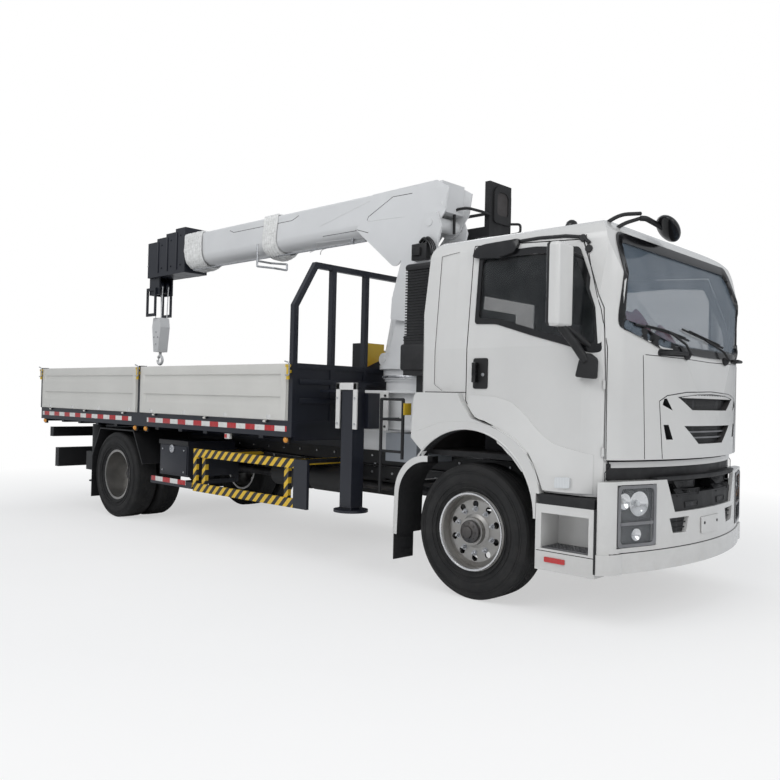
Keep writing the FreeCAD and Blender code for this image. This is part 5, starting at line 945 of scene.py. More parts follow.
# ---------------------------------------------------------------- doors' flares, fenders and steps
RIDGE = [(-0.04, 1.548), (0.22, 1.535), (0.36, 1.50), (0.47, 1.42),
         # the flare's upper edge, x and height
         (0.60, 1.29), (0.72, 1.215), (0.86, 1.185), (1.06, 1.15)]
DOOR_FOOT = 0.893
FENDER_TOP = 1.285            # the fender's upper edge above the axle


def ridge_height(x):
    """Height of the flare's upper edge at x from the front axle."""
    for (x0, z0), (x1, z1) in zip(RIDGE, RIDGE[1:]):
        if x <= x1:
            return z0 + (z1 - z0) * max(0.0, (x - x0) / (x1 - x0))
    return RIDGE[-1][1]


def flare_foot(side, sign, fender, x):
    """Height where the door comes clear of the fender at x from the front axle."""
    direction, start = VIEWS[side]
    foot = DOOR_FOOT
    while foot < ridge_height(x) - 0.03:
        spot, _, _, _ = fender.ray_cast(start(AXLE_X + x, foot), direction)
        if spot is None or spot.y * sign < 1.2:
            _, _, _, distance = fender.find_nearest(at(x, sign * 1.235, foot))
            if distance > 0.010 and foot > FENDER_TOP - 1.17 * max(0.0, x) ** 2:
                break
        foot += 0.008
    return foot


def door_flare(side, sign, fender):
    """The door's lower bulge, which rises from the ridge to the fender's face."""
    along = [-0.030 + k * 0.0435 for k in range(25)]
    upper = ax([(x, ridge_height(x)) for x in along])
    lower = ax([(x, flare_foot(side, sign, fender, x)) for x in along])

    def bulge(u, v):
        fade = min(1.0, max(0.0, (AXLE_X + 1.0 - u) / 0.16))
        return 0.004 + fade * min(0.046, 0.20 * max(0.0, ridge_height(u - AXLE_X) - v))

    skin(f"door_flare_{side}", upper + lower[::-1], side, surface_of(f"door_{side}"), 0.0005, bulge, "white",
         f"door_{side}_body", 0.035, smooth=25)


def step_trim(side, sign):
    """Tread plates, reflector, marker lamp, mud flap and the fender's creases."""
    spans = []
    low, high = sorted((sign * 1.223, sign * 1.02))
    for z in (0.497, 0.352):
        spans.append(block((0.672, 1.028), (low, high), (z, z + 0.008)))
        spans += [
            block((x, x + 0.007), (y - 0.014, y + 0.014), (z + 0.007, z + 0.012))
            for x in (0.692 + k * 0.028 for k in range(12))
            for y in ((low + high) / 2 + (m - 1.5) * 0.042 for m in range(4))
        ]
    boxes(f"step_treads_{side}", spans, "tread", bevel=0.002)
    well = surface_of("cab_steps")
    skin(f"step_reflector_{side}", rounded(ax(rect(0.70, 0.405, 0.86, 0.44)), 0.008), side, well, 0.0005,
         0.007, "red", step=0.05)
    seams(f"step_lip_{side}", [ax([(0.63, 0.478), (1.07, 0.478)])], side, well, 0.003, "gloss")
    # Painted shade: a black slab standing for the shadow in the gap between the step and the bumper.
    boxes(f"step_gap_shadow_{side}", [block((1.070, 1.0835), (1.05, 1.2365), (0.375, 0.80), sign)], "black",
          bevel=0.002)
    # Painted shade: a black block over the step standing for the shade in the step well.
    boxes(f"step_roof_shadow_{side}", [block((0.64, 1.07), (1.05, 1.2365), (0.800, 0.868), sign)], "black",
          bevel=0.003)
    fender = surface_of("front_fenders")
    marker = ax([(0.765, 0.918), (0.882, 0.926), (0.882, 1.0), (0.767, 0.992)])
    skin(f"marker_{side}", rounded(marker, 0.015), side, surface_of(f"door_{side}", "cab_shell"), 0.045,
         0.016, "clear",
         f"door_{side}_body")
    crease = [(-0.505, 1.255), (-0.25, 1.335), (0.0, 1.352), (0.25, 1.315), (0.45, 1.215), (0.585, 1.07),
              (0.64, 0.93)]
    seams(f"fender_crease_{side}", [ax(crease)], side, fender, 0.0035, "white", step=0.03)
    door_flare(side, sign, fender)
    angles = [math.radians(6 + k * 5.25) for k in range(33)]
    arch = [(math.cos(a) * 0.606, 0.685 + math.sin(a) * 0.606) for a in angles]
    seams(f"arch_lip_{side}", [ax([p for p in arch if -0.50 < p[0] < 0.59])], side, fender, 0.008, "white",
          step=0.03)
    flap = [block((-0.735, -0.723), (1.225, 0.99), (0.20, 0.62), sign)]
    flap += [block((-0.724, -0.719), (1.205, 1.01), (z, z + 0.015), sign) for z in (0.26, 0.36, 0.46)]
    boxes(f"front_flap_{side}", flap, "liner", bevel=0.003)


both(step_trim)


# ---------------------------------------------------------------- screen, roof and mirrors
def wiper(index, pivot, tip, blade):
    """One wiper: its boss, arm, rubber and spine."""
    screen = surface_of("windscreen")
    low = touch(nose_skin, "front", pivot[0], pivot[1] - 0.02)
    turned(f"wiper_boss_{index}", [([(0, 0.032), (0.02, 0.03), (0.034, 0.02), (0.038, 0)], low, (1, 0, 0.35),
                                    24)], "black")
    rise = low + Vector((0.045, 0, 0.01))
    knee = touch(screen, "front", *tip)
    arm = [rise, rise.lerp(knee, 0.35) + Vector((0.028, 0, 0.012)),
           rise.lerp(knee, 0.75) + Vector((0.03, 0, 0.004)),
           knee + Vector((0.022, 0, 0))]
    rods(f"wiper_arm_{index}", [arm], 0.0085, "black")
    (y0, z0), (y1, z1) = blade
    line = [touch(screen, "front", y0 + (y1 - y0) * k / 8,
                  z0 + (z1 - z0) * k / 8) + Vector((0.012, 0, 0.002)) for k in range(9)]
    rods(f"wiper_blade_{index}", [line], 0.0075, "black")
    rods(f"wiper_spine_{index}", [[p + Vector((0.012, 0, 0.006)) for p in line[1:-1]]], 0.005, "black")


def front_mirror():
    """The round mirror that looks down at the nose, on its double arm."""
    feet = [touch(cab_skin, "right", AXLE_X + 0.93, 2.56), touch(cab_skin, "right", AXLE_X + 0.88, 2.64)]
    head = at(1.02, -0.55, 2.86)
    for index, (foot, lift) in enumerate(zip(feet, (0.0, 0.035))):
        rise = foot.lerp(head, 0.55) + Vector((0.03, 0, 0.05 + lift))
        bar(f"front_mirror_arm_{index}", [foot, rise, head + Vector((0, 0, lift))], 0.014, "black", bend=0.1)
    turned("front_mirror_feet", [disc(foot + Vector((0, 0.004, 0)), (0.2, -1, 0.1), 0.026, 0.02, 20)
                                 for foot in feet], "black")
    middle = head + Vector((0.12, 0.20, -0.06))
    tilt = Euler((math.radians(-14), math.radians(38), math.radians(20))).to_matrix()
    work = bmesh.new()
    bmesh.ops.create_uvsphere(work, u_segments=32, v_segments=18, radius=1.0)
    for vert in work.verts:
        x, y, z = vert.co
        vert.co = middle + tilt @ Vector((x * 0.105, y * 0.185, z * (0.033 if z < 0 else 0.055)))
    from_bmesh("front_mirror_shell", work, "gloss", smooth=60)
    neck = [head, head + Vector((0.03, 0.03, 0.0)), middle + Vector((-0.03, -0.02, 0.01))]
    bar("front_mirror_neck", neck, 0.02, "black", bend=0.02)


def windscreen_trim():
    """Wipers, grab handles, roof lamps and the front mirror."""
    wiper(0, (-0.42, 1.875), (-0.62, 2.02), ((-0.93, 2.045), (-0.28, 1.975)))
    wiper(1, (0.30, 1.868), (0.02, 2.0), ((-0.33, 2.055), (0.36, 1.962)))
    for index, (start, end) in enumerate(((-0.70, -0.47), (0.47, 0.70))):
        a, b = touch(nose_skin, "front", start, 1.865), touch(nose_skin, "front", end, 1.868)
        out = Vector((0.05, 0, 0))
        bar(f"grab_handle_{index}", [a, a + out, b + out, b], 0.012, "black", bend=0.03)
        plate = [(start - 0.03, 1.845), (end + 0.03, 1.848), (end + 0.02, 1.895), (start - 0.02, 1.89)]
        skin(f"grab_plate_{index}", rounded(plate, 0.018), "front", nose_skin, 0.0005, 0.004, "black",
             step=0.05)
    beacon = [(0, 0.062), (0.012, 0.062), (0.016, 0.05), (0.055, 0.05), (0.085, 0.04), (0.1, 0.02),
              (0.104, 0)]
    turned("roof_beacon", [(beacon, touch(nose_skin, "top", AXLE_X + 0.40, -0.46), (0, 0, 1), 32)], "gloss",
           smooth=35)
    lamps = [touch(nose_skin, "top", AXLE_X + 0.62, y) + Vector((0, 0, 0.008))
             for y in (-0.5, -0.25, 0.25, 0.5)]
    boxes("roof_markers", [around(spot, 0.035, 0.012, 0.012) for spot in lamps], "amber", bevel=0.006)
    front_mirror()


windscreen_trim()


def mirror_trim(side, sign):
    """The mirror's glass and the heavy foot of its arm."""
    body = f"door_{side}_body"
    x = 0.812
    panes = [block((x - 0.006, x + 0.002), (1.455, 1.285), z, sign) for z in ((2.20, 2.555), (2.03, 2.185))]
    boxes(f"mirror_glass_{side}", panes, "mirror", body)
    boxes(f"mirror_rim_{side}", [block((x - 0.003, x + 0.03), (1.468, 1.262), (2.012, 2.568), sign)], "black",
          body, 0.02)
    foot = rounded(ax([(0.90, 1.68), (1.045, 1.665), (1.05, 1.80), (0.99, 1.845), (0.93, 1.80)]), 0.02)
    extruded(f"mirror_foot_{side}", foot, "xz", *sorted((sign * 1.178, sign * 1.223)), "black", body, 0.01)
    stem = [at(0.97, sign * 1.208, 1.79), at(0.92, sign * 1.27, 1.90), at(0.87, sign * 1.34, 2.00),
            at(0.865, sign * 1.35, 2.04)]
    rods(f"mirror_stem_{side}", [stem], 0.03, "black", body)


both(mirror_trim)


def dash_cloth():
    """Red cloth laid in folds over the dashboard behind the screen."""
    rng = random.Random(11)
    dash = surface_of("cab_interior")
    phases = [rng.uniform(0, 6.28) for _ in range(4)]
    columns, rows = 60, 26
    lowest, highest = 1.74, 1.98       # the cloth bridges the dashboard's gaps at these heights

    def fold(across, r, x, y):
        spot, _, _, _ = dash.ray_cast(Vector((x, y, 2.6)), Vector((0, 0, -1)))
        floor = min(max(spot.z, lowest), highest) if spot is not None else lowest + 0.01
        heap = 0.40 * math.exp(-((across - 0.30) / 0.22) ** 2)
        heap += 0.26 * math.exp(-((across - 0.74) / 0.18) ** 2)
        heap *= max(0.0, math.sin(math.pi * r / rows)) ** 0.7
        crease = 0.018 * math.sin(across * 21 + r * 0.16 + phases[0])
        crease += 0.010 * math.sin(across * 39 - r * 0.3 + phases[1])
        return Vector((x, y, floor + 0.024 + heap + crease * (0.3 + heap * 4)))

    grid = [[fold(c / columns, r, AXLE_X + 0.64 + 0.47 * r / rows, -0.84 + 1.16 * c / columns)
             for c in range(columns + 1)]
            for r in range(rows + 1)]
    piece = draped("dash_cloth", grid, "redcloth")
    thicken(piece)


dash_cloth()


# ---------------------------------------------------------------- wheels
TYRE_RADIUS = 0.512
STUD_RING = 0.1675
RIBS = ((0.13, 0.27), (0.30, 0.42), (0.45, 0.55), (0.58, 0.70),
        (0.73, 0.87))     # tread ribs, as shares of the width
TREAD_BLOCKS = 72


def tread(name, centre, low_y, high_y, body):
    """Tread blocks and shoulder lugs round one tyre, proud of its crown."""
    work = bmesh.new()
    half = math.pi / TREAD_BLOCKS * 0.84
    for k in range(TREAD_BLOCKS):
        for row, rib in enumerate(RIBS):
            turn = TURN * (k + (row % 2) * 0.5) / TREAD_BLOCKS
            lean = (0.005 if row % 2 else -0.005) / TYRE_RADIUS
            verts = []
            for radius in (TYRE_RADIUS - 0.010, TYRE_RADIUS + (0.0 if row in (0, 4) else 0.002)):
                for way, end in ((-1, 0), (1, 0), (1, 1), (-1, 1)):
                    angle = turn + way * half + (-lean if end else lean)
                    verts.append(work.verts.new((centre.x + math.cos(angle) * radius,
                                                 low_y + (high_y - low_y) * rib[end],
                                                 centre.z + math.sin(angle) * radius)))
            work.faces.new(verts[4:])
            for a in range(4):
                b = (a + 1) % 4
                work.faces.new((verts[a], verts[b], verts[4 + b], verts[4 + a]))
    from_bmesh(name, work, "rubber", body)


def wheel_trim(name, side, sign, centre, rim, wall, body):
    """Bare rings on the tyre's outer wall, studs with nuts, and the hub's cap and bolts."""
    outward = Vector((0, sign, 0))
    spot = Vector((centre.x, sign * wall, centre.z))
    turned(f"{name}_wall_rings_{side}", [
        ([(-0.004, r - 0.004), (proud, r - 0.003), (proud, r + 0.003), (-0.004, r + 0.004)], spot, outward,
         96)
        for r, proud in ((0.335, 0.004), (0.372, 0.003), (0.445, 0.004), (0.462, 0.003))
    ], "rubber", body)
    stud = touch(rim, side, centre.x + STUD_RING * math.cos(0.314), centre.z + STUD_RING * math.sin(0.314))
    hub = touch(rim, side, centre.x + 0.055, centre.z + 0.02)
    forms = []
    for place, _ in circle(Vector((centre.x, stud.y, centre.z)), STUD_RING, 10, turn=TURN / 20):
        forms += [bolt(place, outward, 0.0165, 0.020),
                  ([(0.018, 0.010), (0.034, 0.010), (0.037, 0.007), (0.037, 0)], place, outward, 12),
                  ([(0, 0.023), (0.004, 0.022), (0.004, 0)], place, outward, 20)]
    wheel = "rear_wheel" if name == "rear" else "front_wheel"
    turned(f"{wheel}_{side}_studs", forms, "steel", body)
    spot = Vector((centre.x, hub.y, centre.z))
    cap = [(0, 0.086), (0.012, 0.084), (0.020, 0.074), (0.026, 0.050), (0.030, 0.046), (0.046, 0.043),
           (0.050, 0.036), (0.051, 0)]
    bolts = [bolt(place + outward * 0.018, outward, 0.008, 0.010) for place, _ in circle(spot, 0.066, 8)]
    turned(f"{wheel}_{side}_hub_cap", [(cap, spot, outward, 48), *bolts], "hub", body)


def front_wheel(side, sign):
    """Tread, wall rings, studs, hub and bright rim edge of a front wheel."""
    body, rim = f"front_wheel_{side}", f"front_rim_{side}"
    centre = at(0, 0, TYRE_RADIUS)
    tread(f"front_tread_{side}", centre, *sorted((sign * 0.885, sign * 1.175)), body)
    wheel_trim("front", side, sign, centre, surface_of(rim), 1.172, body)
    low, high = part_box(rim)
    face = Vector((centre.x, (low.y if sign < 0 else high.y) - sign * 0.004, centre.z))
    edge = [(0, 0.296), (0.006, 0.294), (0.008, 0.288), (0.004, 0.281), (0, 0.281)]
    turned(f"front_rim_edge_{side}", [(edge, face, (0, sign, 0), 96)], "polished", body, 50)


def rear_wheels(side, sign):
    """Treads, wall rings, studs and hub of a rear twin wheel."""
    body = f"rear_wheels_{side}"
    centre = at(REAR_AXLE, 0, TYRE_RADIUS)
    for index, (near, far) in enumerate(((0.61, 0.90), (0.94, 1.23))):
        tread(f"rear_tread_{side}_{index}", centre, *sorted((sign * near, sign * far)), body)
    wheel_trim("rear", side, sign, centre, surface_of(f"rear_rims_{side}"), 1.227, body)


both(front_wheel)
both(rear_wheels)

# ---------------------------------------------------------------- crane
boom_skin = surface_of("boom_base")


def boom_trim(side, sign):
    """Pressed lines, the black ones painted shade in their creases and the white ones raised, pin disc and
    the root's cover panel on one side of the boom.
    """
    upper = ax([(-2.17, 3.345), (-2.155, 3.38), (-1.81, 3.535), (-1.55, 3.53)])
    middle = ax([(-2.88, 3.272), (-2.32, 3.268), (-2.15, 3.215)])
    rear = ax([(-4.60, 3.553), (-4.52, 3.52), (-3.40, 3.515), (-3.28, 3.555)])
    # Painted shade: black beads along the pressed lines darken their creases.
    seams(f"boom_shade_lines_{side}", [upper, middle, rear], side, boom_skin, 0.0035, "gloss", "boom")
    lower = ax([(-3.18, 3.14), (-3.03, 3.225), (-2.30, 3.205)])
    diagonal = ax([(-2.92, 3.385), (-2.14, 3.55)])
    seams(f"boom_creases_{side}", [lower, diagonal, ax([(-2.16, 3.335), (-1.65, 3.315)])], side, boom_skin,
          0.0045, "crane",
          "boom")
    outward = Vector((0, sign, 0))
    spot = touch(boom_skin, side, AXLE_X - 1.245, 3.205)
    profile = [(0, 0.050), (0.010, 0.050), (0.014, 0.044), (0.014, 0.016), (0.008, 0.014), (0.008, 0)]
    bolts = [bolt(place, outward, 0.007, 0.006) for place, _ in circle(spot + outward * 0.014, 0.034, 4,
                                                                       turn=TURN / 8)]
    turned(f"boom_pin_disc_{side}", [(profile, spot, outward, 32), *bolts], "crane", "boom")
    cover = ax([(-1.225, 3.545), (-1.20, 3.40), (-1.12, 3.32), (-1.10, 3.47)])
    skin(f"root_cover_{side}", rounded(cover, 0.02), side, boom_skin, 0.0005, 0.006, "crane", "boom", 0.05)


both(boom_trim)


def boom_gear():
    """Rod with its clips and the loop bracket under the boom."""
    bar("underboom_rod", [at(x, -0.10, 3.155) for x in (-5.50, -3.80, -2.26)], 0.009, "steel", "boom")
    clips = [block((x - 0.012, x + 0.012), (-0.115, -0.085), (3.145, 3.213)) for x in (-5.45, -3.86, -2.46)]
    boxes("underboom_rod_clips", clips, "steel", "boom", 0.003)
    near, far = -0.232, -0.032
    bar("loop_bracket", [at(-3.95, near, 3.30), at(-3.95, near, 3.035), at(-3.64, near, 2.985),
                         at(-3.64, far, 2.985),
                         at(-3.64, far, 3.055), at(-3.95, far, 3.10), at(-3.95, near + 0.02, 3.10)], 0.012,
                         "steel", "boom", 0.012)


boom_gear()


def hull_ring(x, level, steps):
    """Points round the boom at x, found by looking inward from all sides, and their directions."""
    ring = []
    for outside, way in circle(Vector((x, 0, level)), 1.2, steps, "yz"):
        spot, _, _, _ = boom_skin.ray_cast(outside, -way)
        ring.append((spot, way))
    return ring


def wrap(name, start, end, level, folds, seed, droop):
    """A band of thin film drawn round the boom, gathered into folds and sagging below it."""
    rng = random.Random(seed)
    rows, steps = 40, 96
    phases = [rng.uniform(0, 6.28) for _ in range(4)]

    def row(share):
        line = []
        for k, (spot, way) in enumerate(hull_ring(AXLE_X + start + (end - start) * share, level, steps)):
            angle = TURN * k / steps
            fold = math.sin(share * folds * 6.28 + 2.2 * math.sin(angle + phases[0])) * 0.5 + 0.5
            ripple = 0.25 * math.sin(angle * 9 + share * 11 + phases[1])
            ripple += 0.15 * math.sin(angle * 17 + share * 5 + phases[2])
            sag = droop * max(0.0, -way.z) ** 3 * (1 - (2 * share - 1) ** 2)
            lift = 0.006 + 0.020 * fold * fold + 0.007 * (ripple + 0.4) + sag
            line.append(spot + way * lift + Vector((0.016 * math.sin(angle * 2 + phases[3]), 0, 0)))
        return line

    piece = draped(name, [row(r / rows) for r in range(rows + 1)], "film", "boom", 75, closed=True)
    thicken(piece, 1)
    ring = [spot for spot, _ in hull_ring(AXLE_X + start, level, steps)]


wrap("film_wrap_front", -3.92, -3.66, 3.40, 6, 3, 0.05)
wrap("film_wrap_rear", -5.58, -5.18, 3.40, 9, 5, 0.03)


def column_trim():
    """Bolts, pin covers, clamp block and hydraulic pipes on the column."""
    column = surface_of("crane_column")
    forms = []
    for side, sign in SIDES:
        outward = (0, sign, 0)
        forms += [bolt(touch(column, side, AXLE_X - 1.50, z), outward, 0.014, 0.010)
                  for z in (2.10, 2.40, 2.70)]
        cover = [(0, 0.055), (0.012, 0.055), (0.018, 0.047), (0.018, 0.018), (0.010, 0.016), (0.010, 0)]
        forms.append((cover, touch(column, side, AXLE_X - 1.86, 1.985), outward, 32))
    turned("column_discs", forms, "crane", "crane")
    y = touch(column, "right", AXLE_X - 1.36, 2.93).y
    boxes("valve_clamp", [block((-1.46, -1.27), (y - 0.07, y), (2.84, 3.00)),
                          block((-1.43, -1.33), (y - 0.10, y - 0.06), (2.88, 2.96))],
          "black", "crane", 0.01)
    turned("clamp_fittings", [disc(at(x, y - 0.06, 2.80), (0, -0.3, -1), 0.017, 0.05, 16)
                              for x in (-1.43, -1.38, -1.33)],
           "steel", "crane")
    for index, shift in enumerate((0.0, 0.045)):
        line = [at(x + shift, y + out, z) for x, out, z in (
            (-1.40, -0.012, 3.02), (-1.33, -0.035, 3.06), (-1.235, -0.045, 2.98), (-1.215, -0.045, 2.86),
            (-1.24, 0.01, 2.825))]
        bar(f"column_pipe_{index}", line, 0.014, "gloss", "crane", 0.12)


def base_trim():
    """The slewing ring's band and bolts, and the bolts of the crane's base."""
    low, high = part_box("slew_ring")
    radius = (high.x - low.x) / 2
    centre = Vector((low.x + radius, 0, low.z))
    band = [(0.008, radius + 0.002), (0.012, radius + 0.006), (0.030, radius + 0.006),
            (0.034, radius + 0.002),
            (0.034, radius - 0.01), (0.008, radius - 0.01)]
    turned("slew_band", [(band, centre, (0, 0, 1), 96)], "steel", smooth=50)
    spots = circle(centre + Vector((0, 0, 0.021)), radius + 0.006, 20, "xy", TURN / 40)
    turned("slew_bolts", [bolt(place, way, 0.008, 0.006) for place, way in spots], "steel")
    turned("base_bolts", [
        bolt(at(x, sign * 0.95, z), (0, sign, 0), 0.013, 0.010) for _, sign in SIDES for x in (-1.36, -1.22)
        for z in (1.30, 1.40)
    ], "steel")


column_trim()
base_trim()


def seat_trim():
    """Back cushion, its rim, and the pipe rails of the operator's seat."""
    seat = surface_of("operator_seat")
    outline = [(0.50, 3.30), (0.79, 3.30), (0.79, 3.62), (0.73, 3.68), (0.56, 3.68), (0.50, 3.62)]
    inner = rounded(shrunk(outline, (0.645, 3.52), 0.66, 0.62), 0.04)
    skin("seat_back_rim", rounded(outline, 0.04), "front", seat, 0.0005, 0.016, "black", "crane", 0.05,
         [inner])
    skin("seat_back_pad", inner, "front", seat, 0.0005, 0.006, "trim", "crane", 0.05)
    rail = [at(-1.20, 0.05, 3.12), at(-1.20, 0.05, 3.36), at(-1.08, 0.10, 3.37), at(-1.06, 0.34, 3.37),
            at(-1.08, 0.48, 3.37)]
    bar("seat_rail", rail, 0.014, "black", "crane")
    grab = [at(-1.06, 0.80, 3.22), at(-0.98, 0.86, 3.24), at(-0.98, 0.86, 3.33), at(-1.06, 0.80, 3.33)]
    bar("seat_grab", grab, 0.013, "black", "crane", 0.03)


seat_trim()


def intake_trim():
    """Louvre ribs and the rounded head of the air intake, with its dust box."""
    low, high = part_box("air_intake")
    tower = surface_of("air_intake")
    ribs = []
    for k in range(26):
        z = 1.99 + k * 0.0235
        face = touch(tower, "right", (low.x + high.x) / 2, z).y
        ribs.append(((low.x - 0.003, face - 0.008, z), (high.x + 0.004, high.y + 0.004, z + 0.011)))
    boxes("intake_louvres", ribs, "gloss", bevel=0.003)
    boxes("intake_box", [((low.x - 0.03, low.y - 0.02, 1.74), (high.x + 0.004, high.y + 0.004, 1.965))],
          "black", bevel=0.025)
    boxes("intake_head", [((low.x - 0.008, low.y - 0.006, high.z - 0.05),
                           (high.x + 0.004, high.y + 0.006, high.z + 0.012))],
          "black", bevel=0.028)


intake_trim()


def tip_trim():
    """Pins of the hook block, the tip's bolts and the straps of the sections' head plates."""
    turned("block_pins", [
        disc(at(x, sign * 0.074, z), (0, sign, 0), 0.012, 0.008, 16)
        for _, sign in SIDES for x, z in ((-6.45, 2.37), (-6.45, 2.20), (-6.50, 2.30), (-6.40, 2.30))
    ], "steel", "hook")
    turned("tip_bolts", [
        bolt(at(-6.56, sign * 0.158, z), (0, sign, 0), 0.013, 0.010) for z in (3.30, 3.46)
        for _, sign in SIDES
    ], "steel", "section_4")
    for number, reach in ((1, 0.176), (2, 0.170), (3, 0.164)):
        low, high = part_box(f"boom_section_{number}")
        work = bmesh.new()
        for _, sign in SIDES:
            add_box(work, *(Vector((x, y, z)) for x, y, z in zip(
                (low.x + 0.02, low.x + 0.05), sorted((sign * reach, sign * (reach + 0.008))),
                (3.18, high.z - 0.05))))
            for z in (3.24, high.z - 0.10):
                add_lathe(work, *bolt((low.x + 0.12, sign * reach, z), (0, sign, 0), 0.012, 0.009))
        from_bmesh(f"boom_section_{number}_straps", work, "navy", f"section_{number}", bevel=0.002)


tip_trim()

# ---------------------------------------------------------------- bed
PANEL_FACE = 1.2455           # the drop sides' outer face


def pressed_face(name, low, high, sign, body):
    """The pressed outer skin of a drop side: raised rails round two long recesses with sloping feet."""
    inner = low + 0.075, high - 0.075
    columns = (low, *inner, high)
    rows = (1.280, 1.383, 1.500, 1.612, 1.712, 1.809)
    work = bmesh.new()

    def corner(x, out, z):
        return work.verts.new((x, sign * (PANEL_FACE + out), z))

    def walls(loop, other):
        for k in range(len(loop)):
            n = (k + 1) % len(loop)
            work.faces.new((loop[k], loop[n], other[n], other[k]))

    grid = [[corner(x, 0.021, z) for x in columns] for z in rows]
    cells = {(r, c): [grid[r][c], grid[r][c + 1], grid[r + 1][c + 1], grid[r + 1][c]] for r in range(5)
             for c in range(3)}
    recessed = ((1, 1), (3, 1))
    for place, cell in cells.items():
        if place not in recessed:
            work.faces.new(cell)
    for r, c in recessed:
        foot = rect(inner[0] + 0.026, rows[r] + 0.034, inner[1] - 0.026, rows[r + 1] - 0.004)
        floor = [corner(x, 0.002, z) for x, z in foot]
        walls(cells[r, c], floor)
        work.faces.new(floor)
    rim = grid[0] + [row[3] for row in grid[1:]] + grid[5][2::-1] + [row[0] for row in grid[4:0:-1]]
    walls(rim, [corner(vert.co.x, 0.0005, vert.co.z) for vert in rim])
    from_bmesh(name, work, "cream", body, bevel=0.004)


def drop_sides(side, sign):
    pressed_face(f"rear_side_skin_{side}", AXLE_X - 7.355, AXLE_X - 4.832, sign, f"gate_rear_{side}")
    pressed_face(f"front_side_skin_{side}", AXLE_X - 4.734, AXLE_X - 2.10, sign, f"gate_front_{side}")


both(drop_sides)


def bed_trim(side, sign):
    """Hinge straps, latches, conspicuity tape and marker lamps along one side."""
    for gate, places in (("rear", (-7.08, -6.43, -5.72, -4.98)), ("front", (-4.48, -3.80, -3.05, -2.35))):
        straps = [block((x - 0.03, x + 0.03), (PANEL_FACE + 0.020, PANEL_FACE + 0.0232), (1.285, 1.325),
                        sign) for x in places]
        boxes(f"{gate}_hinge_straps_{side}", straps, "white", f"gate_{gate}_{side}", 0.001)
    for index, x in enumerate((-7.382, -4.783, -2.062)):
        proud = PANEL_FACE + 0.022, PANEL_FACE + 0.040
        boxes(f"gate_latch_{side}_{index}", [
            block((x - 0.016, x + 0.016), proud, (1.66, 1.79), sign),
            block((x - 0.034, x + 0.034), proud, (1.775, 1.80), sign),
            block((x - 0.012, x + 0.012), (PANEL_FACE - 0.02, PANEL_FACE + 0.024), (1.72, 1.75), sign),
        ], "yellow", bevel=0.005)
        y = sign * (PANEL_FACE + 0.046)
        hook = [at(x - 0.02, y, 1.70), at(x + 0.035, y, 1.70), at(x + 0.035, y, 1.815), at(x - 0.03, y, 1.83)]
        bar(f"gate_latch_hook_{side}_{index}", hook, 0.007, "steel", bend=0.02)
    rail = surface_of("bed_deck")
    for index, (low, high) in enumerate(((-7.37, -4.95), (-4.60, -2.10))):
        face = abs(touch(rail, side, AXLE_X + (low + high) / 2, 1.20).y)
        strip = block((low, high), (face - 0.001, face + 0.001), (1.174, 1.226), sign)
        boxes(f"side_tape_{side}_{index}", [strip], "tape", bevel=0.0005)
    places = (-7.33, -4.90, -4.66, -2.135)
    lamp = [(0, 0.030), (0.012, 0.030), (0.022, 0.024), (0.030, 0.012), (0.032, 0)]
    turned(f"marker_lamps_{side}", [(lamp, at(x, sign * 1.214, 1.098), (0, sign, 0), 20) for x in places],
           "amber")
    brackets = [block((x - 0.036, x + 0.036), (1.195, 1.218), (1.062, 1.16), sign) for x in places]
    boxes(f"marker_brackets_{side}", brackets, "frame", bevel=0.003)
    boxes(f"bed_lamp_{side}", [block((-3.10, -3.015), (1.20, 1.232), (1.06, 1.115), sign)], "white")
    boxes(f"bed_lamp_lens_{side}", [block((-3.095, -3.058), (1.228, 1.236), (1.068, 1.107), sign)], "red",
          bevel=0.003)
    boxes(f"bed_lamp_bracket_{side}", [block((-3.075, -3.04), (1.195, 1.215), (1.10, 1.20), sign)], "frame",
          bevel=0.002)


both(bed_trim)


def tail_trim():
    """Tail lamps, tape and the bare plate at the rear."""
    for side, sign in SIDES:
        low, high = sorted((sign * 0.70, sign * 1.09))
        boxes(f"tail_lamp_case_{side}", [block((-7.364, -7.328), (low, high), (0.885, 1.005))], "black",
              bevel=0.008)
        third = (high - low) / 3
        for index, tone in enumerate(("red", "amber", "clear")[::sign]):
            near = low + third * index + 0.008
            lens = block((-7.374, -7.360), (near, near + third - 0.016), (0.895, 0.995))
            boxes(f"tail_lens_{side}_{index}", [lens], tone, bevel=0.007)
    bed = surface_of("bed_deck")
    tape = {"red": [], "white": []}
    width = 0.16
    for k in range(14):
        low = -1.12 + k * width
        face = touch(bed, "rear", low + width / 2, 1.13).x
        tape["red" if k % 2 else "white"].append(((face - 0.003, low, 1.10),
                                                  (face + 0.001, low + width, 1.15)))
    for tone, strips in tape.items():
        boxes(f"tail_tape_{tone}", strips, tone, bevel=None)
    boxes("rear_plate", [block((-7.345, -7.335), (-0.25, 0.25), (0.76, 0.88))], "white")
    boxes("rear_plate_holder", [block((-7.337, -7.20), (-0.06, 0.06), (0.74, 0.80)),
                                block((-7.337, -7.329), (-0.27, 0.27), (0.74, 0.89))], "frame", bevel=0.003)


tail_trim()
ribs = [block((x, x + 0.010), (-1.16, 1.16), (z, z + 0.05)) for z in (1.44, 1.62) for x in (-2.032, -2.093)]
boxes("headboard_ribs", ribs, "navy", bevel=0.006)


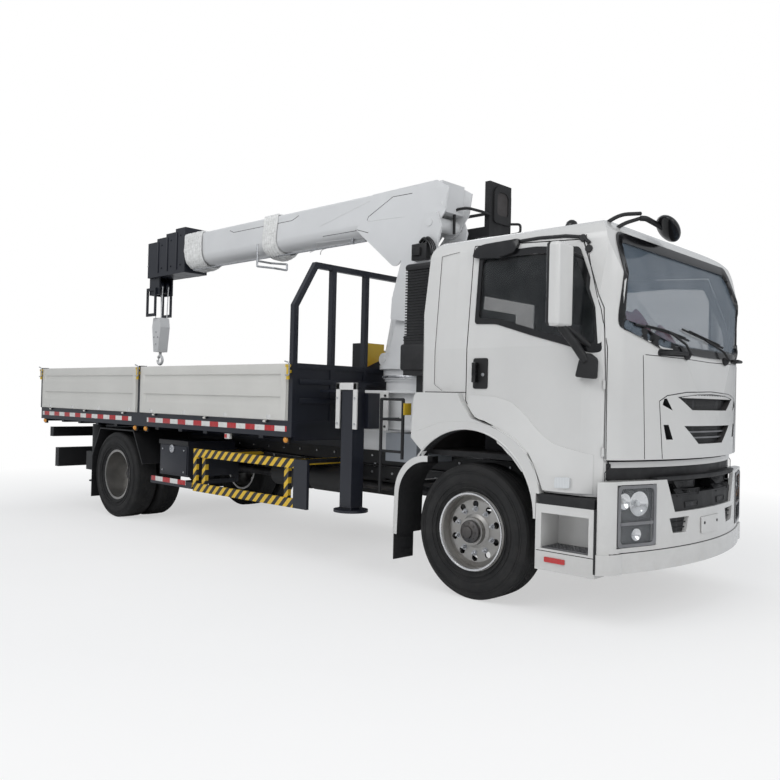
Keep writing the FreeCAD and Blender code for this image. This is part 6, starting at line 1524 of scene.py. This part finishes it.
# ---------------------------------------------------------------- under the bed and the outriggers
def outrigger_trim(side, sign):
    """White bracket round the leg's head, its bolts, the housing's plate and the foot's gussets."""
    outward = (0, sign, 0)
    plate, tall = (1.246, 1.262), (1.235, 1.632)
    cheek = (1.02, 1.262) if sign > 0 else (1.246, 1.246)         # on the right the cheeks have no depth
    boxes(f"leg_bracket_{side}", [
        block((-1.420, -1.372), plate, tall, sign), block((-1.208, -1.160), plate, tall, sign),
        block((-1.420, -1.160), plate, (1.572, 1.632), sign), block((-1.420, -1.405), cheek, tall, sign),
        block((-1.175, -1.160), cheek, tall, sign), block((-1.420, -1.160), cheek, (1.621, 1.634), sign),
    ], "white", f"beam_{side}")
    heads = [bolt(at(x, sign * 1.262, z), outward, 0.010, 0.008) for z in (1.28, 1.50)
             for x in (-1.396, -1.184)]
    turned(f"leg_bolts_{side}", heads, "steel", f"beam_{side}")
    boxes(f"housing_plate_{side}", [block((-1.385, -1.075), (0.951, 0.962), (1.225, 1.565), sign)], "white")
    heads = [bolt(at(x, sign * 0.962, z), outward, 0.012, 0.010) for x in (-1.35, -1.11)
             for z in (1.26, 1.53)]
    turned(f"housing_bolts_{side}", heads, "frame")
    work = bmesh.new()
    centre = at(-1.29, sign * 1.175, 0.536)
    for root, way in circle(centre, 0.06, 4, "xy", TURN / 8):
        half = Vector((-way.y, way.x, 0)) * 0.006
        corners = (root, centre + way * 0.135, root + Vector((0, 0, 0.05)))
        front, back = ([work.verts.new(spot + shift) for spot in corners] for shift in (half, -half))
        work.faces.new(front)
        work.faces.new(back[::-1])
        for m in range(3):
            n = (m + 1) % 3
            work.faces.new((front[m], back[m], back[n], front[n]))
    from_bmesh(f"foot_gussets_{side}", work, "navy", f"foot_{side}")


both(outrigger_trim)


def toolbox_trim():
    """Lid line, strip, lock and hinge bolts of the toolbox."""
    low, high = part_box("toolbox")
    face = low.y
    lid = (low.x + 0.02, face - 0.010, low.z + 0.02), (high.x - 0.02, face + 0.002, high.z - 0.055)
    boxes("toolbox_lid", [lid], "navy", bevel=0.008)
    strip = (low.x - 0.01, face - 0.016, high.z - 0.045), (high.x + 0.01, face + 0.004, high.z + 0.005)
    boxes("toolbox_top_strip", [strip], "frame", bevel=0.006)
    lock = [(0, 0.045), (0.008, 0.045), (0.016, 0.034), (0.018, 0.020), (0.010, 0.016), (0.010, 0)]
    turned("toolbox_lock", [(lock, at(-4.14, face - 0.010, high.z - 0.09), (0, -1, 0), 28)] + [
        bolt(at(x, face - 0.010, z), (0, -1, 0), 0.010, 0.008) for x in (-4.33, -3.90)
        for z in (low.z + 0.05, high.z - 0.10)
    ], "steel")


toolbox_trim()
guard = surface_of("side_guards")


def low_rail_tape(side, sign):
    """Tape on the side guard's low rail."""
    face = abs(touch(guard, side, AXLE_X - 4.25, 0.545).y)
    strip = block((-4.50, -3.80), (face - 0.001, face + 0.003), (0.52, 0.572), sign)
    boxes(f"low_rail_tape_{side}", [strip], "tape", bevel=0.0005)


both(low_rail_tape)


def underbody_trim(side, sign):
    """The pipe with its clips and the bolts along the chassis."""
    rail, y = sign * 0.430, sign * 0.447
    bar(f"chassis_pipe_{side}", [at(x, y, z) for x, z in ((-6.6, 0.90), (-4.2, 0.90), (-2.4, 0.86),
                                                          (-0.6, 0.86))],
        0.012, "gloss", bend=0.2)
    low, high = sorted((y, rail))
    clips = []
    for k in range(12):
        x = -6.4 + k * 0.52
        z = 0.90 if x < -4.2 else 0.86
        clips.append(block((x - 0.012, x + 0.012), (low, high + 0.002), (z - 0.02, z + 0.02)))
    boxes(f"pipe_clips_{side}", clips, "steel", bevel=0.002)
    heads = [bolt(at(-6.9 + k * 0.27, rail, z), (0, sign, 0), 0.012, 0.009) for k in range(26)
             for z in (0.79, 0.95)]
    turned(f"rail_bolts_{side}", heads, "steel")


both(underbody_trim)
low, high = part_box("ladder")
boxes("yellow_tag", [((high.x + 0.002, low.y - 0.002, 1.37), (high.x + 0.012, low.y + 0.09, 1.47))], "yellow")


def rear_jack_trim(side, _):
    """Collar of a rear jack."""
    low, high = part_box(f"rear_jack_foot_{side}")
    middle = (low + high) / 2
    collar = [(0, 0.088), (0.03, 0.088), (0.034, 0.084), (0.034, 0.083), (0, 0.083)]
    turned(f"rear_jack_collar_{side}", [(collar, (middle.x, middle.y, 0.70), (0, 0, 1), 40)], "frame")


both(rear_jack_trim)


# ---------------------------------------------------------------- floor
def make_floor():
    """A pale floor that fades to white away from the truck, for the camera only."""
    mesh = bpy.data.meshes.new("floor")
    grid = bmesh.new()
    bmesh.ops.create_grid(grid, x_segments=24, y_segments=24, size=60)
    grid.to_mesh(mesh)
    grid.free()
    floor = place_in_scene("floor", mesh)
    t = Paint("pale_floor")
    t.set(Base_Color=t.ramp(t.noise(0.4, 6), (0.3, (0.86, 0.86, 0.86)), (0.7, (0.9, 0.9, 0.9))),
          Roughness=0.9)
    white = t.node("Emission", {0: (1, 1, 1)})
    distance = t.node("VectorMath", {0: t.spot()}, operation="LENGTH")
    fade = t.map(distance.outputs["Value"], 4.5, 9.0, 0.55, 1.0)
    share = t.math("MULTIPLY", t.node("LightPath").outputs["Is Camera Ray"], fade)
    blend = t.node("MixShader", {0: share, 1: t.shader.outputs[0], 2: white.outputs[0]})
    t.feed(blend.outputs[0], t.out.inputs[0])
    mesh.materials.append(t.owner)


make_floor()
